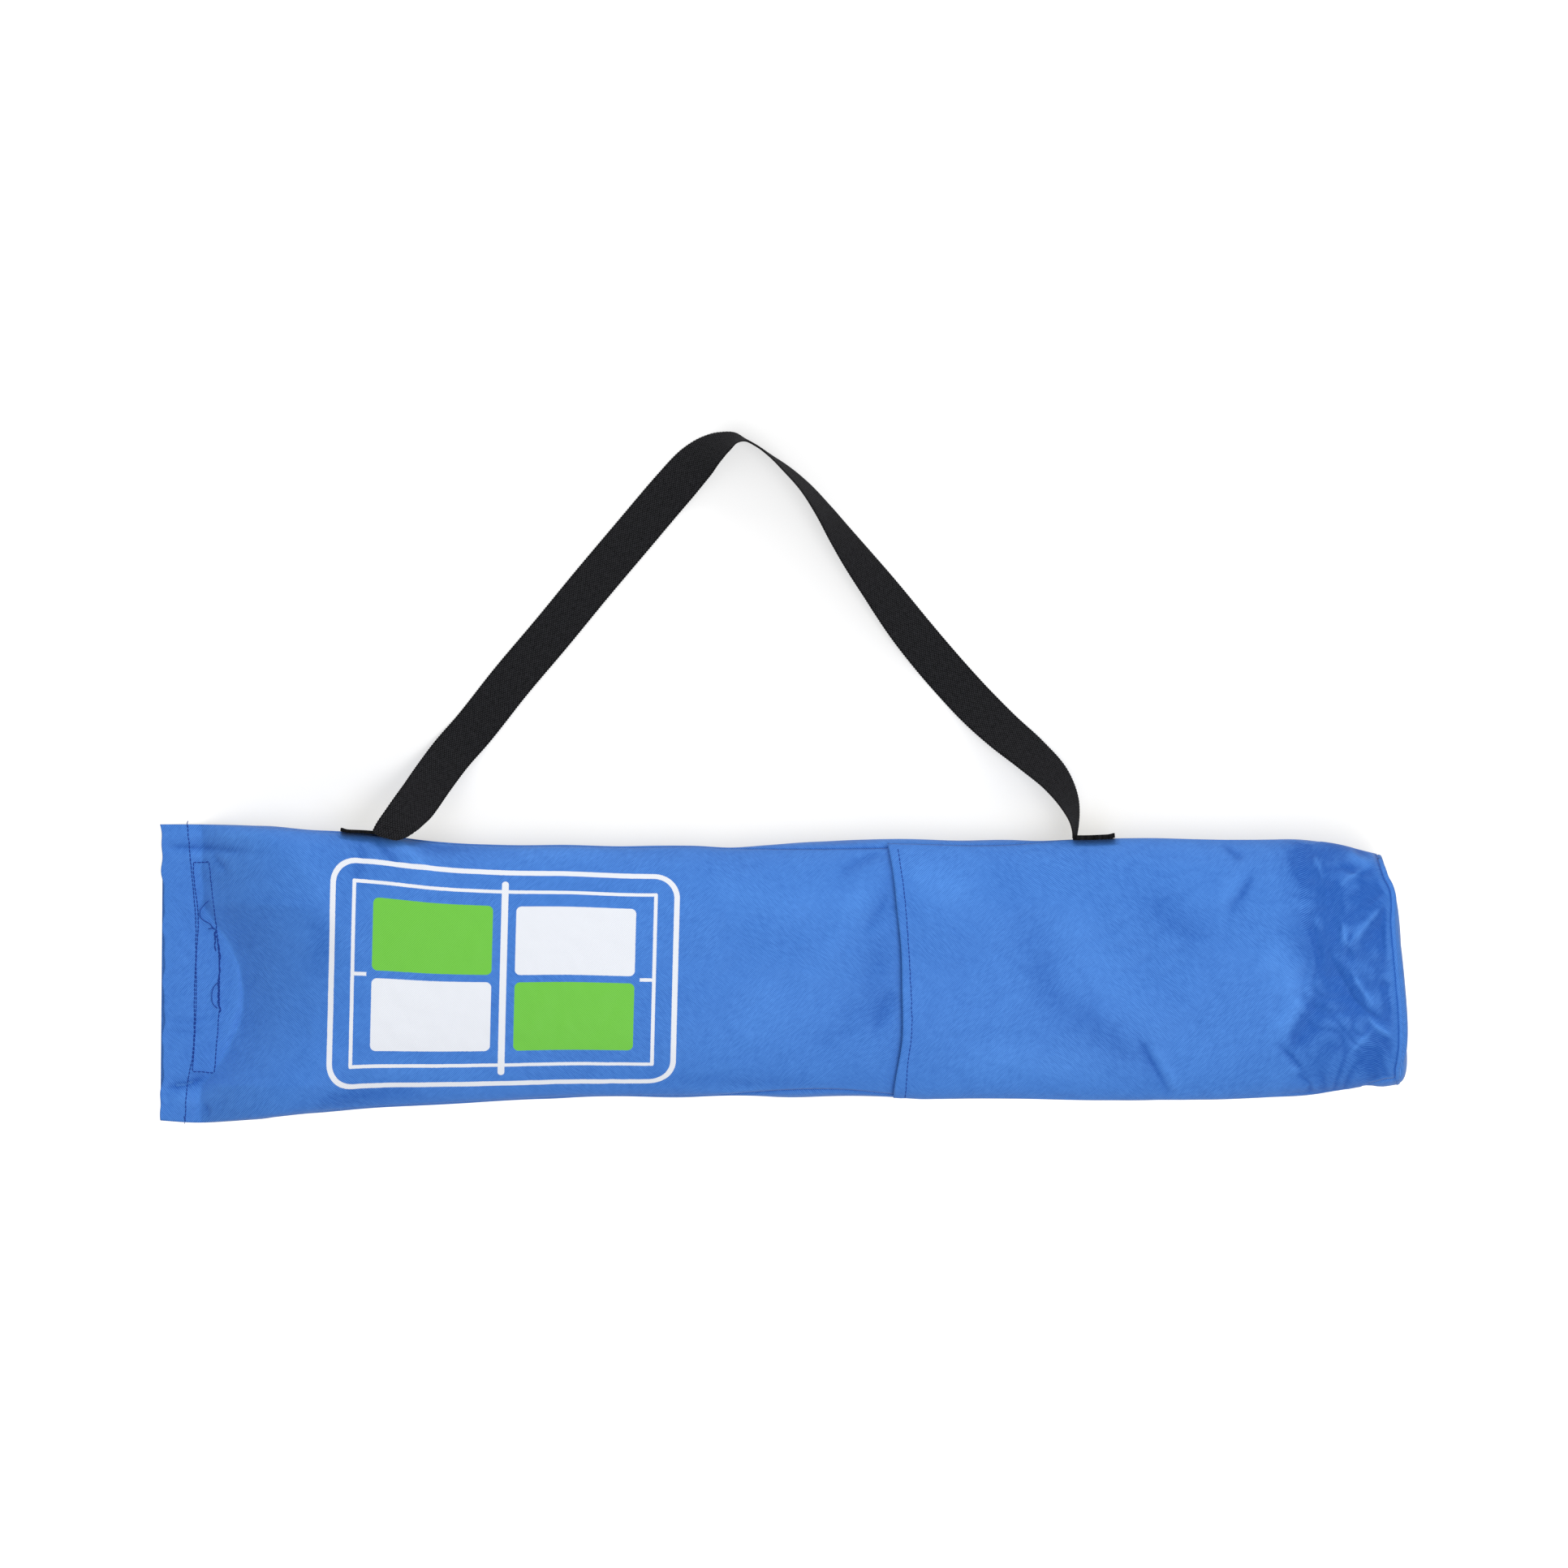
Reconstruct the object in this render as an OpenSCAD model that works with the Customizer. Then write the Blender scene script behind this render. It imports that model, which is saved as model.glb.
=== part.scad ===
// Portable mini tennis net set, packed in its long tubular carry bag.
// X runs along the bag from its mouth (-X) to its base (+X), Z is up and the bag lies on Z = 0.
// The origin is on the floor, under the middle of the bag.

/* [Bag] */
// Length of the bag from the mouth's edge to the base
bag_len = 886; // [820:1:960]
// Width across the flat mouth
mouth_w = 212; // [200:1:224]
// Width at the waist, the narrowest place of the filled bag
waist_w = 178; // [174:1:190]
// Width of the filled part under the pocket
filled_w = 184; // [178:1:196]
// Width of the oval base
base_w = 166; // [158:1:176]
// Height of the filled part
filled_h = 58; // [57:0.5:70]
// Height of the oval base
base_h = 72; // [64:1:84]
// How far the base panel bulges outwards
base_bulge = 9; // [4:0.5:16]
// Lean of the base seam across the bag, in degrees
base_lean = 5; // [0:0.5:8]
// Thickness of the fabric with its coating
fabric_t = 0.8; // [0.5:0.1:1]
// Share of the height at which the side seams run
seam_share = 0.45; // [0.4:0.01:0.5]
// Radius to which the bag's lower corners sag
corner_r = 22; // [16:1:28]
// Roundness of the crown: 2 is an ellipse and more is squarer
crown_n = 2.5; // [2.3:0.1:3]
// Diameter of the piping cord round the base
piping_d = 4; // [3:0.5:5]

/* [Mouth] */
// Length of the lip that lifts when the bag is opened
lip_len = 143; // [133:1:150]
// Length of the flat part of the mouth
flat_len = 53; // [48:1:60]
// Width of the hem round the mouth
hem_w = 22; // [16:1:24]
// Width of the hook and loop strips
strip_w = 20; // [16:1:25]
// Length of the hook and loop strips
strip_len = 150; // [120:1:160]
// Thickness of the hook strip
hook_t = 1.35; // [1:0.05:1.6]
// Thickness of the loop strip
loop_t = 1.55; // [1.2:0.05:1.8]

/* [Pocket] */
// Length of the pocket, from its open edge to the base seam
pocket_len = 352; // [300:1:380]
// Width of the pocket's hem
pocket_hem_w = 7; // [5:1:12]
// How far the pocket's edge stands off the bag
pocket_lift = 2.4; // [2:0.1:4]

/* [Strap] */
// Width of the webbing
strap_w = 30; // [25:1:38]
// Thickness of the webbing
strap_t = 2; // [1.5:0.1:2.5]
// Height of the middle of the sewn ends
strap_z = 28; // [24:1:32]
// Distance from the mouth's edge to the middle of the near sewn end
strap_near = 169; // [160:1:190]
// Distance between the two sewn ends
strap_span = 482; // [440:1:520]
// Distance from the bag's middle line to the strap's far end
strap_reach = 377; // [330:1:420]
// Length of each sewn tail
tail_len = 27; // [22:1:40]

/* [Poles] */
// Outer diameter of the steel tubes
tube_d = 22; // [20:0.5:22.5]
// Wall of the steel tubes
tube_wall = 1.2; // [1:0.1:1.5]
// Length of the rails and posts
tube_len = 700; // [640:1:710]
// Length of the narrowed end that plugs into the next tube
swage_len = 40; // [30:1:50]
// Distance from the mouth's edge to the near ends of the rails
tube_start = 125; // [124:1:140]
// Sideways gap between the packed tubes
tube_gap = 1; // [0.5:0.1:2]
// Length of each half of a foot
foot_len = 236; // [200:1:240]
// Outer diameter of the corner hub's barrels
hub_d = 27; // [26.5:0.1:28]
// Length of the hub's main barrel
hub_len = 96; // [90:1:104]
// Length of the hub's branch, from the middle of the main barrel
hub_branch = 50; // [44:1:51]
// Depth of the hub's sockets
socket_depth = 30; // [24:1:32]

/* [Net] */
// Width of the folded net
net_w = 96; // [84:1:96]
// Length of the folded net
net_len = 480; // [440:1:486]
// Thickness of one fold of the net
net_t = 3.8; // [3:0.1:3.9]
// Free space between two folds
fold_gap = 1.3; // [0.8:0.1:1.3]
// Number of folds
folds = 5; // [3:2:5]
// Width of the white headband tape
band_w = 44; // [38:1:50]
// Thickness of the tape
band_t = 0.9; // [0.7:0.1:1]
// Width of the tie round the folded net
tie_w = 20; // [15:1:25]
// Thickness of the tie
tie_t = 1.2; // [1:0.1:1.4]

/* [Hidden] */

$fn = 48;

// Clearances
seat_gap = 0.3;      // between a piece and what it lies on, and across a joint
sewn_gap = 0.05;     // between two sewn layers
fit_gap = 0.3;       // on the diameter of a socket

// Steps of the bag's surface
crown_steps = 20;    // round the upper half
corner_steps = 5;    // round each lower corner
floor_steps = 4;     // across the flat underside
lip_step = 10;       // along the rising lip
body_step = 60;      // along the filled part
end_step = 22;       // near the base

// Lengths over which the bag's form changes
waist_from = 293;    // from the mouth to the waist
waist_len = 90;      // of the waist itself
widen_len = 140;     // from the waist to the filled width
shoulder_len = 110;  // of the narrowing towards the base
lean_len = 130;      // over which the base seam's lean comes in
rise_len = 180;      // of the rise towards the base
pocket_fade = 60;    // over which the pocket settles onto the bag

// Places along the bag
piping_r = piping_d / 2;
mouth_x = -bag_len / 2;
base_x = bag_len / 2 - base_bulge - piping_r - sewn_gap - fabric_t;
hem_x = mouth_x + hem_w;
strip_x = hem_x + 1;
crease_x = mouth_x + flat_len;
hinge_x = mouth_x + lip_len;
full_x = hinge_x;
waist_x = mouth_x + waist_from;
waist_end_x = waist_x + waist_len;
filled_x = waist_end_x + widen_len;
shoulder_x = base_x - shoulder_len;
lean_x = base_x - lean_len;
rise_x = base_x - rise_len;
panel_end_x = base_x - piping_r - sewn_gap;
pocket_x = base_x - pocket_len;
pocket_hem_x = pocket_x + pocket_hem_w;

// Height of the closed mouth: two layers of fabric and the two strips with their gap
mouth_h = 2 * (fabric_t + sewn_gap) + hook_t + loop_t + seat_gap;
mouth_n = 8;

function clamp01(t) = min(1, max(0, t));
function ease(t) = let (s = clamp01(t)) s * s * (3 - 2 * s);
function mix(a, b, t) = a + (b - a) * t;
function ramp(x, from, to) = ease((x - from) / (to - from));
function sorted(v) = len(v) < 2 ? v : let (p = v[floor(len(v) / 2)])
    concat(sorted([for (a = v) if (a < p) a]), [p], sorted([for (a = v) if (a > p) a]));

// Form of the bag at x
function half_w(x) = mix(mouth_w, waist_w, ramp(x, mouth_x, waist_x)) / 2
    + (filled_w - waist_w) / 2 * ramp(x, waist_end_x, filled_x)
    + (base_w - filled_w) / 2 * ramp(x, shoulder_x, base_x);
function height(x) = mix(mouth_h, filled_h, ramp(x, crease_x, full_x))
    + (base_h - filled_h) * ramp(x, rise_x, base_x);
function seam_z(x) = height(x) * mix(0.5, seam_share, ramp(x, crease_x, full_x));
function crown(x) = mix(mouth_n, crown_n, ramp(x, crease_x, full_x));
function lean(x, y) = x - tan(base_lean) * y * ramp(x, lean_x, base_x);

// Point of the upper half at angle t, d inside the outer face and g above the seam
function upper(x, t, d, g = 0) =
    let (
        e = 2 / crown(x),
        y = (half_w(x) - d) * sign(cos(t)) * pow(abs(cos(t)), e),
        low = seam_z(x) + g
    )
    [lean(x, y), y, low + (height(x) - d - low) * pow(abs(sin(t)), e)];

// Point of the lower half: t goes from -1 at one side seam, round the corner and across to 1
function lower(x, side, t, d) =
    let (
        r = corner_r - d,
        y = side * (half_w(x) - corner_r + r * cos(t))
    )
    [lean(x, y), y, seam_z(x) - (seam_z(x) - d) * sin(t)];

function upper_row(x, d, g = 0, from = 0, to = crown_steps) =
    [for (i = [from:to]) upper(x, 180 * i / crown_steps, d, g)];
function lower_row(x, d) = concat(
    [for (i = [0:corner_steps]) lower(x, -1, 90 * i / corner_steps, d)],
    [for (i = [1:floor_steps - 1])
        let (y = mix(-1, 1, i / floor_steps) * (half_w(x) - corner_r)) [lean(x, y), y, d]],
    [for (i = [0:corner_steps]) lower(x, 1, 90 - 90 * i / corner_steps, d)]
);

// Every layer takes its stations from this one list, so that neighbours share their faces
STATIONS = sorted(concat(
    [mouth_x, hem_x, crease_x, hinge_x, pocket_x, pocket_hem_x, panel_end_x],
    [for (x = [crease_x:lip_step:hinge_x - lip_step / 2]) x],
    [for (x = [hinge_x + body_step:body_step:shoulder_x]) x],
    [for (x = [shoulder_x + end_step:end_step:panel_end_x - end_step / 2]) x]
));
function stations(from, to) = [for (x = STATIONS) if (x >= from && x <= to) x];

// Closed sheet between two grids of points, each a list of rows along the bag
module sheet(outer, inner) {
    n = len(outer);
    m = len(outer[0]);
    o = function (i, j) i * m + j;
    p = function (i, j) n * m + i * m + j;
    quad = function (a, b, c, d) [[a, b, c], [a, c, d]];
    quads = concat(
        [for (i = [0:n - 2], j = [0:m - 2]) quad(o(i, j), o(i + 1, j), o(i + 1, j + 1), o(i, j + 1))],
        [for (i = [0:n - 2], j = [0:m - 2]) quad(p(i, j), p(i, j + 1), p(i + 1, j + 1), p(i + 1, j))],
        [for (j = [0:m - 2]) quad(o(0, j), o(0, j + 1), p(0, j + 1), p(0, j))],
        [for (j = [0:m - 2]) quad(o(n - 1, j + 1), o(n - 1, j), p(n - 1, j), p(n - 1, j + 1))],
        [for (i = [0:n - 2]) quad(o(i, 0), p(i, 0), p(i + 1, 0), o(i + 1, 0))],
        [for (i = [0:n - 2]) quad(o(i + 1, m - 1), p(i + 1, m - 1), p(i, m - 1), o(i, m - 1))]
    );
    polyhedron(
        points = [for (rows = [outer, inner], row = rows) each row],
        faces = [for (q = quads) each q]
    );
}

module upper_sheet(from, to, d, t, g = 0) {
    xs = stations(from, to);
    sheet([for (x = xs) upper_row(x, d, g)], [for (x = xs) upper_row(x, d + t, g)]);
}

module lower_sheet(from, to, d, t) {
    xs = stations(from, to);
    sheet([for (x = xs) lower_row(x, d)], [for (x = xs) lower_row(x, d + t)]);
}

// ---- the bag's own pieces ----

module back_panel() {
    color("#3a74cf")
        lower_sheet(mouth_x, panel_end_x, 0, fabric_t);
}

module front_panel() {
    color("#3e7ed6")
        upper_sheet(hinge_x, panel_end_x, 0, fabric_t);
}

module mouth_lip() {
    xs = concat([for (x = stations(mouth_x, hinge_x - 1)) x], [hinge_x - seat_gap]);
    color("#4384dc")
        sheet(
            [for (x = xs) upper_row(x, 0, seat_gap)],
            [for (x = xs) upper_row(x, fabric_t, seat_gap)]
        );
}

module mouth_hem_upper() {
    color("#356cc2")
        upper_sheet(mouth_x, hem_x, fabric_t + sewn_gap, fabric_t, seat_gap);
}

module mouth_hem_lower() {
    color("#3166ba")
        lower_sheet(mouth_x, hem_x, fabric_t + sewn_gap, fabric_t);
}

module strip(t, z) {
    translate([strip_x, -strip_len / 2, z])
        cube([strip_w, strip_len, t]);
}

module loop_strip() {
    color("#1f2f66")
        strip(loop_t, fabric_t + sewn_gap);
}

module hook_strip() {
    color("#243674")
        strip(hook_t, mouth_h - fabric_t - sewn_gap - hook_t);
}

// Free space under the pocket at angle t: it stands off most at its open edge and is sewn at both sides
function pocket_gap(x, t) =
    sewn_gap + pocket_lift * (1 - ramp(x, pocket_x, pocket_x + pocket_fade)) * min(1, 2 * sin(t));
function pocket_row(x, d, from = 0, to = crown_steps) =
    [for (i = [from:to]) let (t = 180 * i / crown_steps) upper(x, t, d - pocket_gap(x, t))];

module pocket_panel() {
    xs = stations(pocket_x, panel_end_x);
    color("#3f80da")
        sheet([for (x = xs) pocket_row(x, -fabric_t)], [for (x = xs) pocket_row(x, 0)]);
}

module pocket_hem() {
    xs = stations(pocket_x, pocket_hem_x);
    first = 2;
    last = crown_steps - first;
    color("#2f64b8")
        sheet(
            [for (x = xs) pocket_row(x, sewn_gap, first, last)],
            [for (x = xs) pocket_row(x, sewn_gap + fabric_t, first, last)]
        );
}

// Closed outline of the base, d inside the outer face
function base_loop(d) =
    let (up = upper_row(base_x, d), low = lower_row(base_x, d))
    concat(up, [for (i = [1:len(low) - 2]) low[i]]);

// Domed oval: each ring is the rim drawn in by s round its middle
module base_panel() {
    rim = base_loop(piping_r);
    m = len(rim);
    rings = [1, 0.8, 0.55, 0.28];
    n = len(rings);
    middle = [base_x, 0, height(base_x) / 2];
    front_x = piping_r + sewn_gap;
    dome = function (s, x) [for (p = rim) mix(middle, p, s) + [x + base_bulge * (1 - s * s), 0, 0]];
    outer = [for (s = rings) each dome(s, front_x + fabric_t)];
    inner = [for (s = rings) each dome(s, front_x)];
    tip = [middle + [front_x + fabric_t + base_bulge, 0, 0], middle + [front_x + base_bulge, 0, 0]];
    at = function (layer, k, j) layer * n * m + k * m + (j % m);
    top = 2 * n * m;
    last = n - 1;
    color("#3a74cf")
        polyhedron(
            points = concat(outer, inner, tip),
            faces = concat(
                [for (k = [0:n - 2], j = [0:m - 1], half = [0, 1])
                    half == 0 ? [at(0, k, j), at(0, k, j + 1), at(0, k + 1, j + 1)]
                    : [at(0, k, j), at(0, k + 1, j + 1), at(0, k + 1, j)]],
                [for (k = [0:n - 2], j = [0:m - 1], half = [0, 1])
                    half == 0 ? [at(1, k, j), at(1, k + 1, j + 1), at(1, k, j + 1)]
                    : [at(1, k, j), at(1, k + 1, j), at(1, k + 1, j + 1)]],
                [for (j = [0:m - 1]) [at(0, last, j), at(0, last, j + 1), top]],
                [for (j = [0:m - 1]) [at(1, last, j + 1), at(1, last, j), top + 1]],
                [for (j = [0:m - 1], half = [0, 1])
                    half == 0 ? [at(0, 0, j + 1), at(0, 0, j), at(1, 0, j)]
                    : [at(0, 0, j + 1), at(1, 0, j), at(1, 0, j + 1)]]
            )
        );
}

// Cord in its fabric sleeve, carried round the rim of the base
module base_piping() {
    path = base_loop(piping_r);
    m = len(path);
    sides = 8;
    rings = [for (i = [0:m - 1])
        let (
            along = path[(i + 1) % m] - path[(i + m - 1) % m],
            out = cross(along, [1, 0, 0]),
            u = out / norm(out)
        )
        each [for (k = [0:sides - 1])
            let (a = 360 * k / sides) path[i] + piping_r * (cos(a) * u + sin(a) * [1, 0, 0])]];
    at = function (i, k) (i % m) * sides + (k % sides);
    color("#2c5fb2")
        polyhedron(
            points = rings,
            faces = [for (i = [0:m - 1], k = [0:sides - 1], half = [0, 1])
                half == 0 ? [at(i, k), at(i + 1, k + 1), at(i, k + 1)]
                : [at(i, k), at(i + 1, k), at(i + 1, k + 1)]]
        );
}

// ---- strap ----

near_x = mouth_x + strap_near;
far_x = near_x + strap_span;

// Side of the bag, over the pocket where there is one, and the slope of what is sewn to it
function side_y(x) = half_w(x) + sewn_gap + (x > pocket_x ? fabric_t + sewn_gap : 0);
function side_slope(from, to) = (half_w(to) - half_w(from)) / (to - from);

// Stretches of the sewn ends, and the middle of their webbing where the strap leaves
near_from = near_x - strap_w / 2 - tail_len;
near_to = near_x + strap_w / 2;
near_y = side_y(near_from) + (near_x - near_from) * side_slope(near_from, near_to) + strap_t / 2;
far_from = far_x - strap_w / 2;
far_to = far_x + tail_len;
far_y = side_y(far_from) + (far_x - far_from) * side_slope(far_from, far_to) + strap_t / 2;

// The strap leaves over the top edge of each sewn end, on the line that it swings about
sewn_low = strap_z - strap_w / 2;
sewn_top = strap_z + strap_w / 2;
leave_z = sewn_top + seat_gap + strap_t / 2;

// Route of the strap from the near end to the far end. Each point has its place along the span in
// percent, its place from the bag to its own far end in percent, its turn about its own line in
// degrees, which lifts its inner edge, and the height of its lower edge in percent of the height at
// which it leaves the bag.
// Both ends are cut on the slant, along the bag's side.
ROUTE = [
    [0, 0, 0, 100], [1, 2, 0, 100], [2.5, 7, 0, 76], [5, 14, 0, 32], [8, 20, 0, 9], [11, 26, 0, 0], [17, 39, 0, 0],
    [29, 64, 0, 0], [41, 88, 0, 0], [44, 94.5, 8, 0], [47, 98.5, 30, 0], [49.5, 100, 58, 0],
    [52, 99.5, 80, 0], [54, 97.5, 84, 0], [56.5, 94.5, 80, 0], [60, 88.5, 74, 0], [63, 82, 67, 0],
    [65.5, 76, 57, 0], [71, 63.5, 38, 0], [76, 51, 18, 0], [82, 38.5, 0, 0], [89, 26, 0, 0],
    [93, 20, 0, 9], [96, 14, 0, 34], [98, 7, 0, 76], [99.2, 2, 0, 100], [100, 0, 0, 100]
];
route_steps = 3;

// Catmull-Rom curve through the points of the route
function spline(a, b, c, d, t) =
    0.5 * (2 * b + (c - a) * t + (2 * a - 5 * b + 4 * c - d) * t * t + (3 * b - a - 3 * c + d) * t * t * t);
last_point = len(ROUTE) - 1;
FINE = concat(
    [for (i = [0:last_point - 1], k = [0:route_steps - 1])
        let (
            a = ROUTE[max(0, i - 1)],
            d = ROUTE[min(last_point, i + 2)]
        )
        spline(a, ROUTE[i], ROUTE[i + 1], d, k / route_steps)],
    [ROUTE[last_point]]
);
function strap_xy(p) =
    let (u = p[0] / 100, v = p[1] / 100)
    [mix(near_x, far_x, u), mix(mix(near_y, far_y, u), strap_reach, v)];

module shoulder_strap() {
    n = len(FINE);
    xy = [for (p = FINE) strap_xy(p)];
    rings = [for (i = [0:n - 1])
        let (
            step = xy[min(n - 1, i + 1)] - xy[max(0, i - 1)],
            run = step / norm(step),
            from_end = min(norm(xy[i] - xy[0]), norm(xy[i] - xy[n - 1])),
            slant = [i < n / 2 ? -1 : 1, 0] / abs(run[1]),
            side = from_end < strap_w ? mix(slant, [-run[1], run[0]], ease(from_end / strap_w)) : [-run[1], run[0]],
            roll = max(0, FINE[i][2]),
            across = strap_w / 2 * [side[0] * cos(roll), side[1] * cos(roll), -sin(roll)],
            face = strap_t / 2 * [-run[1] * sin(roll), run[0] * sin(roll), cos(roll)],
            low = min(100, max(0, FINE[i][3])) / 100 * (leave_z - strap_t / 2),
            c = [xy[i][0], xy[i][1], low + (strap_w * sin(roll) + strap_t * cos(roll)) / 2]
        )
        [c - across - face, c + across - face, c + across + face, c - across + face]];
    color("#17181b")
        polyhedron(
            points = [for (ring = rings) each ring],
            faces = concat(
                [[0, 1, 2], [0, 2, 3]],
                [for (i = [0:n - 2], k = [0:3], half = [0, 1])
                    let (a = 4 * i + k, b = 4 * i + (k + 1) % 4)
                    half == 0 ? [a, a + 4, b + 4] : [a, b + 4, b]],
                [[4 * n - 4, 4 * n - 2, 4 * n - 3], [4 * n - 4, 4 * n - 1, 4 * n - 2]]
            )
        );
}

// Webbing sewn flat to the bag's side, with its outline drawn along X and Z
module sewn_end(from_x, to_x, outline) {
    color("#1b1c20")
        translate([from_x, side_y(from_x), 0])
            rotate([90, 0, atan(side_slope(from_x, to_x))])
                translate([0, 0, -strap_t])
                    linear_extrude(strap_t)
                        polygon(outline);
}

// Each end is folded on the diagonal, where the webbing turns up to its top edge
module strap_end_mouth() {
    sewn_end(
        near_from, near_to,
        [[0, sewn_low], [tail_len, sewn_low], [tail_len + strap_w, sewn_top], [0, sewn_top]]
    );
}

module strap_end_base() {
    end = strap_w / 2 + tail_len;
    sewn_end(
        far_from, far_to,
        [[0, sewn_top], [strap_w / 2, sewn_low], [end, sewn_low], [end, sewn_top]]
    );
}

// ---- poles ----

tube_r = tube_d / 2;
swage_r = tube_r - tube_wall - fit_gap / 2;
swage_taper = 6;
tube_x = mouth_x + tube_start;
row_z = fabric_t + seat_gap + tube_r;
row_top = row_z + tube_r;
upper_z = row_top + seat_gap;
pitch = tube_d + tube_gap;
function row_y(i) = (i - 2.5) * pitch;

// Steel tube along +X with a plain end at 0 and, if asked for, a narrowed end
module tube(length, swaged = true) {
    shoulder = length - swage_len;
    inner_r = tube_r - tube_wall;
    profile = swaged ? [
        [inner_r, 0], [tube_r, 0], [tube_r, shoulder - swage_taper], [swage_r, shoulder],
        [swage_r, length], [swage_r - tube_wall, length], [swage_r - tube_wall, shoulder],
        [inner_r, shoulder - swage_taper]
    ] : [[inner_r, 0], [tube_r, 0], [tube_r, length], [inner_r, length]];
    rotate([0, 90, 0])
        rotate_extrude()
            polygon(profile);
}

// Tube of the lower row, with its narrowed end towards the base or towards the mouth
module row_tube(place, to_base, swaged = true) {
    translate([tube_x + (to_base ? 0 : tube_len), row_y(place), row_z])
        mirror([to_base ? 0 : 1, 0, 0])
            tube(tube_len, swaged);
}

module rail_1() {
    color("#d9dbde")
        row_tube(1, true);
}

module rail_2() {
    color("#d9dbde")
        row_tube(2, false);
}

module rail_3() {
    color("#d9dbde")
        row_tube(3, true);
}

// The last rail has two plain ends, so that it takes a narrowed end and a hub
module rail_4() {
    color("#d9dbde")
        row_tube(4, true, swaged = false);
}

module post_left() {
    color("#c9ccd1")
        row_tube(0, true);
}

module post_right() {
    color("#c9ccd1")
        row_tube(5, true);
}

// Plug with a domed head, along -X from the tube's end at 0
module plug(slotted) {
    plug_r = tube_r - tube_wall - fit_gap / 4;
    head = 4;
    edge = 1.5;
    plug_len = 12;
    slot_w = 3;
    difference() {
        rotate([0, -90, 0])
            rotate_extrude()
                polygon([
                    [0, -plug_len], [plug_r, -plug_len], [plug_r, sewn_gap], [tube_r, sewn_gap],
                    [tube_r, head - edge], [tube_r - edge, head], [0, head]
                ]);
        if (slotted)
            translate([-head - 1, -slot_w / 2, -tube_r - 1])
                cube([head / 2 + 1, slot_w, tube_d + 2]);
    }
}

module post_caps() {
    color("#2a2c30")
        for (place = [0, 5])
            translate([tube_x, row_y(place), row_z])
                plug(true);
}

// Halves of the two feet, on both sides of the folded net
foot_y = net_w / 2 + tie_t + 1 + tube_r;
foot_x = tube_x + 17;
foot_pitch = foot_len + 2;
net_x = foot_x + 2;
function foot_place(i) = [foot_x + (i % 2) * foot_pitch, (i < 2 ? -1 : 1) * foot_y, upper_z + tube_r];

module foot_bar(i) {
    color("#c9ccd1")
        translate(foot_place(i))
            tube(foot_len, false);
}

module foot_caps() {
    color("#232428")
        for (i = [0:3])
            translate(foot_place(i) + [i % 2 == 0 ? 0 : foot_len, 0, 0])
                mirror([i % 2, 0, 0])
                    plug(false);
}

// Moulded hub: sockets for two foot halves and a rail, and a well for the post
hub_gap = 8;
hub_x = max(foot_x + 2 * foot_pitch, net_x + net_len) + hub_gap + hub_len / 2;
hub_r = hub_d / 2;
hub_y = hub_branch + 3;

module hub() {
    bore_r = tube_r + fit_gap / 2;
    web_t = 4;
    web = 16;
    well_r = swage_r + fit_gap / 2;
    difference() {
        union() {
            rotate([0, 90, 0])
                cylinder(h = hub_len, r = hub_r, center = true);
            rotate([-90, 0, 0])
                cylinder(h = hub_branch, r = hub_r);
            cylinder(h = hub_d, r = hub_r, center = true);
            for (side = [-1, 1])
                mirror([side < 0 ? 1 : 0, 0, 0])
                    translate([0, 0, -web_t / 2])
                        linear_extrude(web_t)
                            polygon([[0, 0], [hub_r + web, 0], [hub_r + web, hub_r],
                                [hub_r, hub_r + web], [0, hub_r + web]]);
        }
        for (side = [-1, 1])
            translate([side * (hub_len / 2 - socket_depth / 2 + 0.5), 0, 0])
                rotate([0, 90, 0])
                    cylinder(h = socket_depth + 1, r = bore_r, center = true);
        translate([0, hub_branch - socket_depth, 0])
            rotate([-90, 0, 0])
                cylinder(h = socket_depth + 1, r = bore_r);
        translate([0, 0, -hub_r + 4])
            cylinder(h = hub_d, r = well_r);
    }
}

module corner_hub_left() {
    color("#26282c")
        translate([hub_x, -hub_y, upper_z + hub_r])
            hub();
}

module corner_hub_right() {
    color("#26282c")
        translate([hub_x, hub_y, upper_z + hub_r])
            rotate([0, 0, 180])
                hub();
}

// ---- net ----

fold_pitch = net_t + fold_gap;
net_z = upper_z + tie_t + seat_gap;
net_top = net_z + (folds - 1) * fold_pitch + net_t;

// Bar of a folded sheet, with round ends left to the turns
module run(w, t) {
    translate([-w / 2, 0])
        square([w, t]);
}

// Half ring that joins two runs at one side
module turn(t, step) {
    outer_r = (step + t) / 2;
    intersection() {
        difference() {
            circle(r = outer_r);
            circle(r = outer_r - t);
        }
        translate([0, -outer_r])
            square([outer_r, 2 * outer_r]);
    }
}

// One continuous sheet folded to and fro, as a profile along Y and Z
module folded(w, t, step, count) {
    outer_r = (step + t) / 2;
    flat_w = w - 2 * outer_r;
    for (i = [0:count - 1])
        translate([0, i * step])
            run(flat_w, t);
    for (i = [0:count - 2])
        mirror([i % 2, 0])
            translate([flat_w / 2, i * step + outer_r])
                turn(t, step);
}

module along_x(length) {
    rotate([90, 0, 90])
        linear_extrude(length)
            children();
}

module folded_net() {
    color("#2c3a35")
        translate([net_x, 0, net_z])
            along_x(net_len)
                folded(net_w, net_t, fold_pitch, folds);
}

band_pitch = band_t + 0.6;
band_z = net_top + seat_gap;
band_top = band_z + band_pitch + band_t;

module net_headband() {
    color("#eef0f0")
        translate([net_x, 0, band_z])
            along_x(net_len)
                folded(band_w, band_t, band_pitch, 2);
}

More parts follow.
